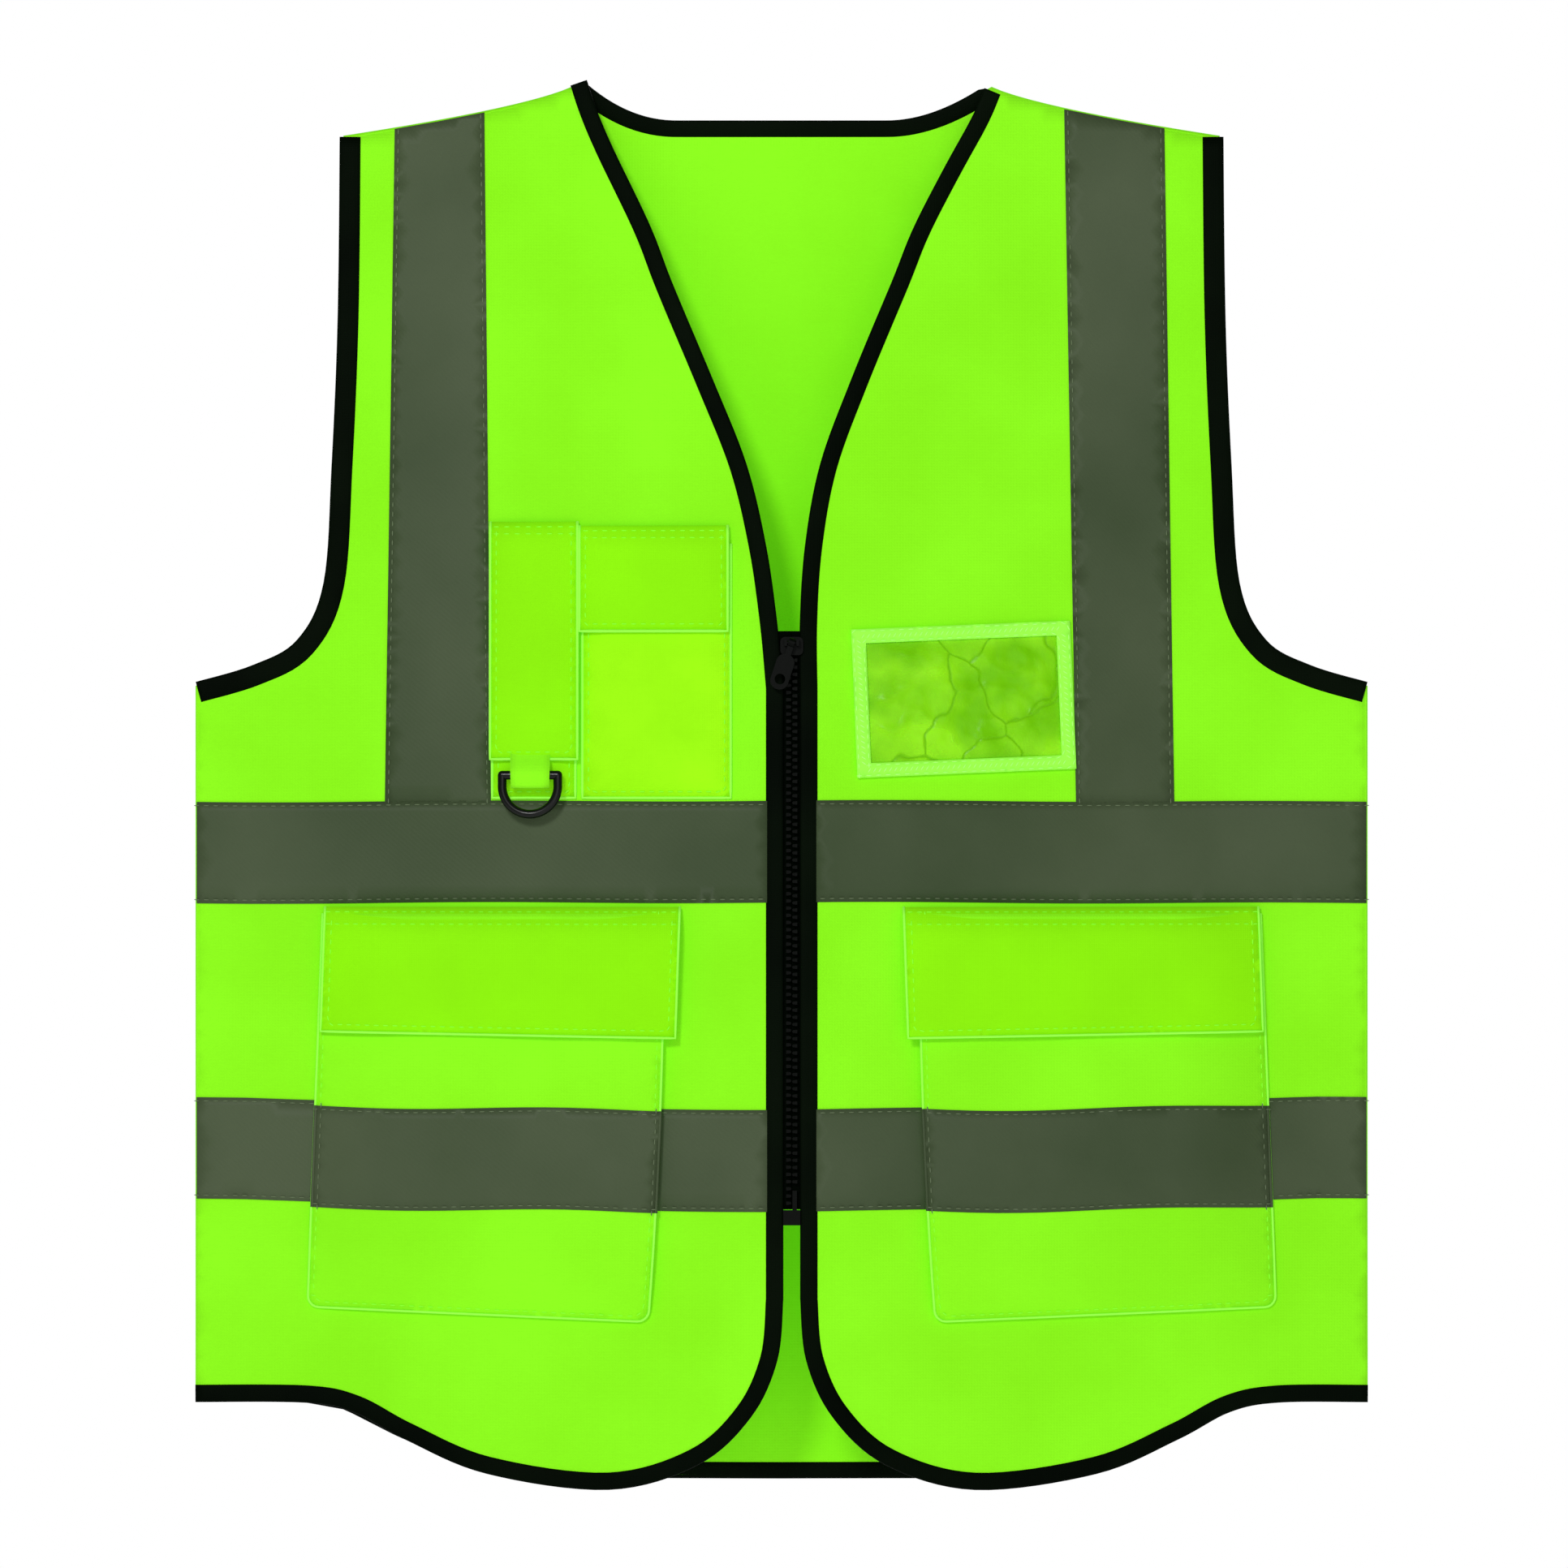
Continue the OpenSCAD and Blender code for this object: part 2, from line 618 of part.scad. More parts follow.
// Narrow pen pocket with a long flap, at the left of the chest
pen_u = 105.5;
pen_w = 43;
pen_drop = 218;
module pen_pocket() {
    color(lime) chest_pocket(pen_u + 1, pen_w - 2, pen_drop + 10, 126, pen_u, pen_w, pen_drop);
}
module pen_flap() {
    color(flap_lime) patch(-1, pen_u, pen_drop + seam_h + 0.4, pen_w, 117 - seam_h - 0.4,
        chest_flap_lo, chest_flap_hi);
}

// Phone pocket beside the pen pocket
phone_u = 30;
phone_w = 73;
phone_drop = 220;
module phone_pocket() {
    color(lime)
        chest_pocket(phone_u, phone_w, phone_drop + 10, 122, phone_u + 1.5, phone_w, phone_drop);
}
module phone_flap() {
    color(flap_lime) patch(-1, phone_u + 1.5, phone_drop + seam_h + 0.4, phone_w,
        52 - seam_h - 0.4, chest_flap_lo, chest_flap_hi);
}
module phone_hook_patch() {
    color(lime) patch(-1, phone_u + 22, phone_drop + 24, 30, 18,
        chest_hi + seam_gap, chest_hi + seam_gap + hook_t);
}
module phone_loop_patch() {
    color(lime) patch(-1, phone_u + 22, phone_drop + 24, 30, 18,
        chest_flap_lo - hook_t - seam_gap / 2, chest_flap_lo - seam_gap / 2);
}

// Webbing tab that loops round the straight bar of the D ring
tab_w = 18;
tab_t = 0.8;
tab_in = ring_wire / 2 + 0.3;
tab_y = chest_hi + seam_gap + tab_in + tab_t;
module at_ring() {
    place = flat([ring_x, ring_bar_z]);
    on_front(-1) translate([place[0], -tab_y, place[1]]) children();
}
module ring_tab() {
    color(flap_lime) at_ring() {
        rotate([0, 90, 0]) difference() {
            cylinder(h = tab_w, r = tab_in + tab_t, center = true);
            cylinder(h = tab_w + 2, r = tab_in, center = true);
        }
        translate([-tab_w / 2, tab_in, 0]) cube([tab_w, tab_t, 22]);
    }
}

// D ring: straight bar, two short sides and a half round, all of one wire
module d_ring() {
    bend = ring_w / 2 - ring_wire / 2;
    leg = ring_h - ring_w / 2 - ring_wire / 2;
    color(zip_black) at_ring() {
        rotate([0, 90, 0]) cylinder(h = 2 * bend, d = ring_wire, center = true);
        for (x = [-bend, bend]) translate([x, 0, 0]) {
            sphere(d = ring_wire);
            translate([0, 0, -leg]) cylinder(h = leg, d = ring_wire);
        }
        translate([0, 0, -leg]) rotate([-90, 0, 0]) rotate_extrude(angle = 180)
            translate([bend, 0]) circle(d = ring_wire);
    }
}

// Clear pocket for a card, in a sewn frame
id_place = flat([84.7, -305.5]);
id_w = 107.4;
id_h = 73;
id_border = 7;
id_turn = -2.4;
module on_id() {
    on_front(1) translate([id_place[0], 0, id_place[1]]) rotate([0, id_turn, 0]) children();
}
module id_frame() {
    color(frame_lime) on_id() layer(patch_lo, patch_lo + 1.2) difference() {
        square([id_w, id_h], center = true);
        square([id_w - 2 * id_border, id_h - 2 * id_border], center = true);
    }
}
module id_window() {
    color(clear_vinyl, 0.5) on_id() layer(patch_lo + 0.3, patch_lo + 0.8)
        square([id_w - 2 * id_border - 0.2, id_h - 2 * id_border - 0.2], center = true);
}

back_panel();
side_panel_left();
side_panel_right();
back_neck_binding();
back_hem_binding();
armhole_binding_left();
armhole_binding_right();
back_shoulder_tape_left();
back_shoulder_tape_right();
back_chest_tape();
back_waist_tape();
side_shoulder_tape_left();
side_shoulder_tape_right();
side_tape_ends_left();
side_tape_ends_right();
front_panel_left();
front_panel_right();
front_binding_left();
front_binding_right();
shoulder_tape_left();
shoulder_tape_right();
chest_tape_left();
chest_tape_right();
waist_tape_left();
waist_tape_right();
zip_tape_left();
zip_tape_right();
zip_teeth_left();
zip_teeth_right();
retaining_box();
insertion_pin();
slider();
pull_tab();
pocket_gusset_left();
pocket_gusset_right();
pocket_front_left();
pocket_front_right();
pocket_tape_left();
pocket_tape_right();
pocket_hook_patch_left();
pocket_hook_patch_right();
flap_seam_left();
flap_seam_right();
pocket_flap_left();
pocket_flap_right();
pocket_loop_patch_left();
pocket_loop_patch_right();
pen_pocket();
pen_flap();
phone_pocket();
phone_hook_patch();
phone_flap();
phone_loop_patch();
ring_tab();
d_ring();
id_frame();
id_window();
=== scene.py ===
"""High visibility vest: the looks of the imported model, laid out as an add-on and run as a script.

Lengths in this file are in millimetres unless a name says otherwise. A place on the vest is given
by x and z as seen from the front and by a level, which counts outwards from the inner face of the
cloth. `place` turns these into metres on the front or on the back.
"""
import json
import math
from functools import partial

import bmesh
import bpy
import numpy
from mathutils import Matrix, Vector, geometry, noise


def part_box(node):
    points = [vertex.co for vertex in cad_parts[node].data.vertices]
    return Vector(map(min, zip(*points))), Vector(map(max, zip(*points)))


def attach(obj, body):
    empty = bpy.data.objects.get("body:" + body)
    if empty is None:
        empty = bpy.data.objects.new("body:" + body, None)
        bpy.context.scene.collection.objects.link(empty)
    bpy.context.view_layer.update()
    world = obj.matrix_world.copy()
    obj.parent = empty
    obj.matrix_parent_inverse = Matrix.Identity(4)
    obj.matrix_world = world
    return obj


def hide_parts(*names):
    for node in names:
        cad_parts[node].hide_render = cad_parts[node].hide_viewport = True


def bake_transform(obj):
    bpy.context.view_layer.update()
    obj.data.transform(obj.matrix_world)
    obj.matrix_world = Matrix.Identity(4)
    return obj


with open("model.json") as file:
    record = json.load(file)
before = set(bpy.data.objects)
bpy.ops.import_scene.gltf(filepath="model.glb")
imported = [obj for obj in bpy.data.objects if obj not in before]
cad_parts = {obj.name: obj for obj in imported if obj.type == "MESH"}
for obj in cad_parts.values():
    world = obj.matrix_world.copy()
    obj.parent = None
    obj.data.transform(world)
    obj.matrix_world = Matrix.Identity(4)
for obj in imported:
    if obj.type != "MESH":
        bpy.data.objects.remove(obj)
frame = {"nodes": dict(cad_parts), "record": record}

bl_info = {
    "name": "High visibility vest",
    "version": (1, 0, 0),
    "blender": (4, 5, 0),
    "location": "3D View > Sidebar > Vest",
    "description": "Makes the cloth, tape, zip and pockets of a high visibility vest",
    "category": "Object",
}

MM = 0.001
RECORD = frame["record"]
JOINTS = {joint["name"]: joint for joint in RECORD["behaviour"]["joints"]}
SIDES = {"left": -1, "right": 1}

# ---------------------------------------------------------------- the frame in millimetres


def box_mm(node):
    """Lowest and highest corner of a node in millimetres."""
    low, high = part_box(node)
    return Vector(low) / MM, Vector(high) / MM


BACK_HIGH = box_mm("back_panel")[1]
SIDE_LOW, SIDE_HIGH = box_mm("side_panel_right")
SLIDER_LOW, SLIDER_HIGH = box_mm("slider")
WAIST_LOW, WAIST_HIGH = box_mm("back_waist_tape")
CHEST_LOW, CHEST_HIGH = box_mm("back_chest_tape")

HALF_W = BACK_HIGH.x
ZIP_X = (SLIDER_LOW.x + SLIDER_HIGH.x) / 2
CLOTH_T = SIDE_HIGH.y - SIDE_LOW.y
# Inner face of the cloth at the side seams
SIDE_Y = -SIDE_HIGH.y
TAPE_W = CHEST_HIGH.z - CHEST_LOW.z
TAPE_X = box_mm("back_shoulder_tape_right")[0].x
# Ends of the shoulder line, and its fall from the neck outwards
NECK_X = box_mm("back_neck_binding")[1].x + 1
SHOULDER_X = 217.0
SHOULDER_DROP = 28.0
# The back bows outwards over this height below the shoulders
BACK_DEPTH = BACK_HIGH.y - SIDE_Y - CLOTH_T
BACK_RISE = 170.0
HEM_SIDE = 652.0
BIND_W = 8.6
HEM_BIND_W = 8.2
ARM_BIND_W = 10.4
# Half of the gap between the edges of the two fronts
EDGE_HALF = 4.1
# The neck opening lies off the line of the zip, and its left end is the higher one
NECK_SKEW = 5.0
NECK_TILT = 2.0
NECK_ENDS = (1.6 - NECK_X, NECK_X + 2.4)

# Fold line of each front, from its hinge
FOLD = JOINTS["front_right_open"]
FOLD_TOP = Vector(FOLD["pos_m"]) / MM
FOLD_DIR = -Vector(FOLD["axis"])
FLAP_AXIS = Vector(JOINTS["pocket_flap_right_lift"]["axis"])
FRONT_NORMAL = FLAP_AXIS.cross(FOLD_DIR)
LEAN = math.hypot(FRONT_NORMAL.x, FRONT_NORMAL.z) / abs(FRONT_NORMAL.y)
# The cloth curves into its slope this far to each side of the fold line
FOLD_ROUND = 25.0

# ---------------------------------------------------------------- small helpers


def clamp(t):
    """A number kept between 0 and 1."""
    return min(1.0, max(0.0, t))


def ease(t):
    """0 below 0, 1 above 1, and a smooth step between."""
    t = clamp(t)
    return t * t * (3 - 2 * t)


def swell(t):
    """Rises fast from 0 at 0 and levels off at 1."""
    return 1 - (1 - clamp(t)) ** 2


def smooth(points, steps=8):
    """Points on a smooth curve through the given points."""
    out = []
    for i in range(len(points) - 1):
        a, b = points[max(i - 1, 0)], points[i]
        c, d = points[i + 1], points[min(i + 2, len(points) - 1)]
        for k in range(steps):
            t = k / steps
            out.append(tuple(
                (2 * b[n] + (c[n] - a[n]) * t + (2 * a[n] - 5 * b[n] + 4 * c[n] - d[n]) * t * t
                 + (3 * b[n] - a[n] - 3 * c[n] + d[n]) * t ** 3) / 2 for n in (0, 1)))
    out.append(tuple(points[-1]))
    return out


def resample(path, step, closed=False):
    """The path with points about step apart, keeping its corners."""
    out = []
    ends = list(path) + [path[0]] if closed else list(path)
    for a, b in zip(ends, ends[1:]):
        parts = max(1, round(math.dist(a, b) / step))
        out += [tuple(a[n] + (b[n] - a[n]) * k / parts for n in range(len(a)))
                for k in range(parts)]
    if not closed:
        out.append(tuple(ends[-1]))
    return out


def beside(path, width):
    """The path moved by width to the left of its direction."""
    out = []
    for i, p in enumerate(path):
        a, b = path[max(i - 1, 0)], path[min(i + 1, len(path) - 1)]
        long = math.dist(a, b) or 1.0
        out.append((p[0] - width * (b[1] - a[1]) / long, p[1] + width * (b[0] - a[0]) / long))
    return out


def flip(path, side):
    """A path given as distance from the zip, as places x, z on one side."""
    return [(ZIP_X + side * u, z) for u, z in path]


def at_side(path, side):
    """A path given as distance from the middle, as places x, z on one side."""
    return [(side * x, z) for x, z in path]


def in_a_ring(points):
    """Each point of a closed outline with the next one."""
    return zip(points, points[1:] + points[:1])


# ---------------------------------------------------------------- the surfaces of the vest


def ridge_z(x):
    """Height of the shoulder line."""
    share = clamp((abs(x) - NECK_X) / (SHOULDER_X - NECK_X))
    return -SHOULDER_DROP * share ** 0.65


def neck_z(x):
    """Height of the top edge at the back of the neck."""
    share = clamp((NECK_X - abs(x)) / 46)
    return -2 - 17.5 * swell(share) - NECK_TILT * (1 - share) ** 3 * (1 if x > 0 else -1)


def inside_fold(u, z):
    """Distance inside the fold line of a front, seen from the front."""
    return (FOLD_TOP.x - ZIP_X - u) * -FOLD_DIR.z + (FOLD_TOP.z - z) * FOLD_DIR.x


def wrinkle(x, z, seed):
    """Soft waves of hanging cloth, which die out at the side seams and the shoulder line."""
    sizes = bpy.context.scene.vest_sizes
    waves = noise.noise(Vector((x * 0.011, z * 0.005, seed)))
    waves += 0.45 * noise.noise(Vector((x * 0.028, z * 0.014, seed + 7)))
    waves += 0.18 * noise.noise(Vector((x * 0.07, z * 0.05, seed + 11)))
    quiet = ease((HALF_W - abs(x)) / 40) * ease((ridge_z(x) - z) / 60)
    return sizes.wrinkle / MM * waves * quiet


def front_y(x, z):
    """Inner face of the fronts."""
    u = abs(x - ZIP_X)
    d = inside_fold(u, z)
    r = FOLD_ROUND
    ramp = 0.0 if d < -r else d if d > r else (d + r) ** 2 / (4 * r)
    return -SIDE_Y - LEAN * ramp - wrinkle(x, z, 3) * ease((u - 6) / 40)


def back_y(x, z):
    """Inner face of the back."""
    rise = math.sin(math.pi / 2 * clamp((ridge_z(x) - z) / BACK_RISE))
    bow = BACK_DEPTH * (1 - (x / HALF_W) ** 2) * rise
    return SIDE_Y + bow + wrinkle(x, z, 21) * 0.8


def raised(level, by=0.0):
    """A level, given as a number or a function of x and z, as a function that lies by higher."""
    if callable(level):
        return lambda x, z: level(x, z) + by
    return lambda x, z: level + by


def place(face, x, z, level):
    """A point in metres, level millimetres outside the inner face of the cloth."""
    if face == "front":
        y = front_y(x, z) - level
    else:
        y = back_y(x, z) + level
    return Vector((x, y, z)) * MM


# ---------------------------------------------------------------- outlines

HEM_RISE = [(150, -686.5), (190, -670), (216, -656.5), (240, -HEM_SIDE)]


def neck_skew(z):
    """How far the neck opening lies off the line of the zip at height z."""
    down = clamp((-2 - z) / 298)
    return NECK_SKEW * (1 - down) * (0.6 + 2.6 * down)


def front_edge(side):
    """Outer edge of one front from the neck end of the shoulder to the side of the hem."""
    neck = [(u - side * neck_skew(z), z - side * NECK_TILT * ease(1 + (z + 2) / 40))
            for u, z in smooth([(NECK_X, -2), (90, -22), (66, -70), (54, -100), (34, -148),
                                (18, -190), (9.5, -230), (5.5, -268), (EDGE_HALF, -300)])
            if z <= -2]
    end_u = HALF_W - side * ZIP_X
    hem = smooth([(EDGE_HALF, -600), (7, -630), (20, -658), (46, -681.5), (90, -694)]
                 + HEM_RISE + [(end_u, -HEM_SIDE)])
    return resample(flip(neck + hem, side), 6)


def armhole(side):
    """Armhole edge from the end of the shoulder line to the side seam."""
    s = SHOULDER_X
    curve = smooth([(s + 1, -SHOULDER_DROP), (s + 2, -117), (s + 5, -190), (s + 9, -248),
                    (s + 22, -276), (s + 44, -288.5), (HALF_W, -296.8)])
    return resample(at_side(curve, side), 6)


def hem_z(x):
    """Height of the back hem."""
    points = [(0, -691.5), (125, -691)] + HEM_RISE + [(HALF_W, -HEM_SIDE)]
    return float(numpy.interp(abs(x), [p[0] for p in points], [p[1] for p in points]))


def front_outline(side):
    """Outline of one whole front, a little inside its bound edges."""
    edge = beside(front_edge(side), 2 * side)
    arm = beside(armhole(side), -2 * side)
    arm[-1] = (side * HALF_W, arm[-1][1])
    edge[-1] = (side * HALF_W, edge[-1][1])
    side_seam = resample([edge[-1], arm[-1]], 10)
    top = [(side * x, ridge_z(x)) for x in numpy.linspace(SHOULDER_X - 2, NECK_X + 5, 24)]
    edge = [p for p in edge if p[1] < -6]
    return edge + side_seam[1:-1] + arm[::-1] + top


def back_outline():
    """Outline of the back, a little inside its bound edges."""
    low = [(x, hem_z(x) + 2) for x in numpy.linspace(-HALF_W, HALF_W, 61)]
    right = beside(armhole(1), -2)
    right[-1] = (HALF_W, right[-1][1])
    left = [(-x, z) for x, z in right]
    neck = [(x, neck_z(x) - 2) for x in numpy.linspace(NECK_X - 1, 1 - NECK_X, 33)]
    shoulder_r = [(x, ridge_z(x)) for x in numpy.linspace(SHOULDER_X - 2, NECK_X + 5, 24)]
    shoulder_l = [(-x, z) for x, z in reversed(shoulder_r)]
    seam_r = resample([low[-1], right[-1]], 10)[1:-1]
    seam_l = resample([left[-1], low[0]], 10)[1:-1]
    return low + seam_r + right[::-1] + shoulder_r + neck + shoulder_l + left + seam_l


# ---------------------------------------------------------------- meshes


def mesh_object(name, points, faces, key, shade=True):
    """A new object from points in metres and faces, with a material of the vest."""
    mesh = bpy.data.meshes.new(name)
    mesh.from_pydata([tuple(p) for p in points], [], faces)
    mesh.materials.append(material_of(key))
    mesh.validate()
    if shade:
        mesh.shade_smooth()
    thing = bpy.data.objects.new(name, mesh)
    bpy.context.scene.collection.objects.link(thing)
    return thing


def inside(points, rings):
    """Which rows of an array lie inside an outline and outside its holes."""
    found = numpy.zeros(len(points), dtype=bool)
    for ring in rings:
        for a, b in in_a_ring(ring):
            if a[1] != b[1]:
                crosses = (a[1] > points[:, 1]) != (b[1] > points[:, 1])
                at = a[0] + (points[:, 1] - a[1]) * (b[0] - a[0]) / (b[1] - a[1])
                found ^= crosses & (points[:, 0] < at)
    return found


def fill(outline, cell, holes=()):
    """Points and triangles that fill a flat outline, with holes left open."""
    rings = [resample(ring, cell, closed=True) for ring in (outline, *holes)]
    fixed = [p for ring in rings for p in ring]
    edges = []
    for ring in rings:
        start, count = len(edges), len(ring)
        edges += [(start + i, start + (i + 1) % count) for i in range(count)]
    ends = numpy.array(fixed)
    low, high = ends.min(axis=0), ends.max(axis=0)
    row = cell * math.sqrt(3) / 2
    inner = []
    for j, z in enumerate(numpy.arange(low[1] + row / 2, high[1], row)):
        inner += [(x + (j % 2) * cell / 2, z) for x in numpy.arange(low[0], high[0], cell)]
    grid = numpy.array(inner)
    grid = grid[inside(grid, rings)]
    if len(grid):
        nearest = numpy.min(numpy.linalg.norm(grid[:, None] - ends[None], axis=2), axis=1)
        grid = grid[nearest > cell * 0.55]
    points = [Vector(p) for p in (*fixed, *grid)]
    found, _, triangles, *_ = geometry.delaunay_2d_cdt(points, edges, [], 0, 1e-6)
    middles = numpy.array([tuple(sum((found[i] for i in t), Vector((0, 0))) / 3)
                           for t in triangles])
    kept = inside(middles, rings)
    return [tuple(p) for p in found], [t for t, keep in zip(triangles, kept) if keep]


def cloth(name, face, outline, key, level, thick=0.8, cell=8.0, holes=()):
    """A closed sheet over the vest whose outer face lies at a level, a number or a function."""
    points, triangles = fill(outline, cell, holes)
    top = raised(level)
    outer = [place(face, x, z, top(x, z)) for x, z in points]
    inner = [place(face, x, z, top(x, z) - thick) for x, z in points]
    count = len(points)
    turn = -1 if face == "front" else 1
    faces = []
    rim = {}
    for a, b, c in triangles:
        area = ((points[b][0] - points[a][0]) * (points[c][1] - points[a][1])
                - (points[c][0] - points[a][0]) * (points[b][1] - points[a][1]))
        order = (a, b, c) if area * turn < 0 else (a, c, b)
        faces.append(order)
        faces.append(tuple(count + i for i in reversed(order)))
        for edge in in_a_ring(order):
            # An edge that the next triangle shares isn't on the rim
            if rim.pop(edge[::-1], None) is None:
                rim[edge] = True
    faces += [(b, a, count + a, count + b) for a, b in rim]
    return mesh_object(name, outer + inner, faces, key)


# Section of a folded binding: share of its width from the edge inwards, and level
BINDING_SECTION = [(0.0, 0.4), (0.03, 1.1), (0.12, 1.5), (0.3, 1.65), (0.6, 1.65), (0.85, 1.55),
                   (0.97, 1.25), (1.0, 0.85), (1.0, -0.05), (0.95, -0.45), (0.7, -0.65),
                   (0.3, -0.65), (0.06, -0.4)]


def binding(name, face, path, width):
    """A folded binding along a path, width wide to the left of the path."""
    count = len(BINDING_SECTION)
    strands = [[place(face, x, z, level) for x, z in beside(path, share * width)]
               for share, level in BINDING_SECTION]
    points = [p for row in zip(*strands) for p in row]
    return skin(name, points, count, "binding")


def skin(name, points, count, key, shade=True):
    """A closed skin over rows of count points, capped at both ends."""
    last = len(points) - count
    faces = []
    for i in range(0, last, count):
        for k in range(count):
            n = (k + 1) % count
            faces.append((i + k, i + n, i + count + n, i + count + k))
    faces.append(tuple(reversed(range(count))))
    faces.append(tuple(last + k for k in range(count)))
    return outwards(mesh_object(name, points, faces, key, shade))


def wall(name, path, thick, low, top):
    """A thin wall of shell cloth that stands on a front along a path, from level low up to top."""
    points = []
    for near, far in zip(path, beside(path, thick)):
        high = top(*near)
        points += [place("front", *near, low), place("front", *far, low),
                   place("front", *far, high), place("front", *near, high)]
    return skin(name, points, 4, "knit", shade=False)


def outwards(thing):
    """Turns every face of a closed mesh outwards."""
    work = bmesh.new()
    work.from_mesh(thing.data)
    bmesh.ops.recalc_face_normals(work, faces=work.faces)
    work.to_mesh(thing.data)
    work.free()
    return thing


def tube(name, points, radius, key, sides=8, flat=1.0):
    """A round cord through points in metres; flat squeezes it along Y."""
    rows = []
    for i, p in enumerate(points):
        before, after = points[max(i - 1, 0)], points[min(i + 1, len(points) - 1)]
        along = (after - before).normalized()
        across = along.cross(Vector((0, 1, 0))).normalized()
        out = across.cross(along).normalized()
        rows += [p + (across * math.cos(a) + out * flat * math.sin(a)) * radius * MM
                 for a in (2 * math.pi * k / sides for k in range(sides))]
    return skin(name, rows, sides, key)


# ---------------------------------------------------------------- riding on the bodies


def on_body(thing, body="body"):
    """Lets a piece ride on one body."""
    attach(thing, body)


def on_front(thing, side_name):
    """Bakes the transform of a piece into its mesh; side_name is not used."""
    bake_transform(thing)


def on_flap(thing, front, flap, run):
    """Bakes the transform of a flap piece into its mesh; front, flap and run are not used."""
    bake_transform(thing)


def finish(thing, slot, ride, *nodes, cut=None):
    """Hides the parts that a piece replaces and passes the piece to ride; slot, its finish, and
    cut, the outline of a sheet, are not used.
    """
    if nodes:
        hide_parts(*nodes)
    ride(thing)


# ---------------------------------------------------------------- materials


def linear(code):
    """An sRGB hex colour as linear red, green, blue and alpha."""
    out = []
    for i in (1, 3, 5):
        c = int(code[i:i + 2], 16) / 255
        out.append(c / 12.92 if c <= 0.04045 else ((c + 0.055) / 1.055) ** 2.4)
    return (*out, 1.0)


def add(tree, kind, settings=None, inputs=None, links=None):
    """Adds a node with its settings, input values and links from other sockets."""
    node = tree.nodes.new(kind)
    for key, value in (settings or {}).items():
        setattr(node, key, value)
    for key, value in (inputs or {}).items():
        node.inputs[key].default_value = value
    for key, socket in (links or {}).items():
        tree.links.new(socket, node.inputs[key])
    return node


def new_material(name, values):
    """A material whose shader holds some values, with its tree, shader and Object coordinates."""
    material = bpy.data.materials.new(name)
    material.use_nodes = True
    tree = material.node_tree
    tree.nodes.clear()
    shader = add(tree, "ShaderNodeBsdfPrincipled", inputs=values)
    add(tree, "ShaderNodeOutputMaterial", links={"Surface": shader.outputs["BSDF"]})
    where = add(tree, "ShaderNodeTexCoord").outputs["Object"]
    return material, tree, shader, where


def tone(tree, where, dark, light, size_mm, detail=3.0):
    """A colour that drifts between two tones in patches of a given size."""
    drift = add(tree, "ShaderNodeTexNoise", inputs={"Scale": 1000 / size_mm, "Detail": detail},
                links={"Vector": where})
    ramp = add(tree, "ShaderNodeValToRGB", links={"Fac": drift.outputs["Fac"]})
    ramp.color_ramp.elements[0].position = 0.35
    ramp.color_ramp.elements[0].color = linear(dark)
    ramp.color_ramp.elements[1].position = 0.65
    ramp.color_ramp.elements[1].color = linear(light)
    return ramp.outputs["Color"]


def wave_scale(pitch_mm):
    """Scale of a Wave Texture with ridges one pitch apart: it repeats every pi / (10 * scale)."""
    return math.pi / (10 * pitch_mm * MM)


# Threads wander a little from their straight lines
THREAD_WAVE = {"Distortion": 0.6, "Detail": 1.0, "Detail Scale": 1.5}


def woven(name, dark, light, pitch_mm, bump_mm, rough, sheen, painted_glow=0.0, patch_mm=70.0,
          gloss=0.1):
    """Cloth with a weave or knit of a given pitch, which leaves a fine grain in the light."""
    values = {"Roughness": rough, "Sheen Weight": sheen, "Sheen Roughness": 0.5,
              "Specular IOR Level": gloss}
    # Painted light: emission in the lighter tone, which lights the cloth whatever lamps fall on it
    # and fills its shadows
    if painted_glow:
        values.update({"Emission Color": linear(light), "Emission Strength": painted_glow})
    material, tree, shader, where = new_material(name, values)
    warp, weft = (add(tree, "ShaderNodeTexWave", {"bands_direction": way},
                      {"Scale": wave_scale(pitch_mm), **THREAD_WAVE}, {"Vector": where})
                  for way in ("X", "Z"))
    both = add(tree, "ShaderNodeMath", {"operation": "MULTIPLY"},
               links={0: warp.outputs["Fac"], 1: weft.outputs["Fac"]})
    # The fuzz of the yarn is a little finer than the weave
    fuzz = add(tree, "ShaderNodeTexNoise", inputs={"Scale": 1000 / (pitch_mm * 0.8),
                                                   "Detail": 2.0}, links={"Vector": where})
    height = add(tree, "ShaderNodeMath", {"operation": "ADD"},
                 links={0: both.outputs[0], 1: fuzz.outputs["Fac"]})
    bump = add(tree, "ShaderNodeBump", inputs={"Strength": 0.6, "Distance": bump_mm * MM},
               links={"Height": height.outputs[0]})
    tree.links.new(tone(tree, where, dark, light, patch_mm), shader.inputs["Base Color"])
    tree.links.new(bump.outputs["Normal"], shader.inputs["Normal"])
    return material


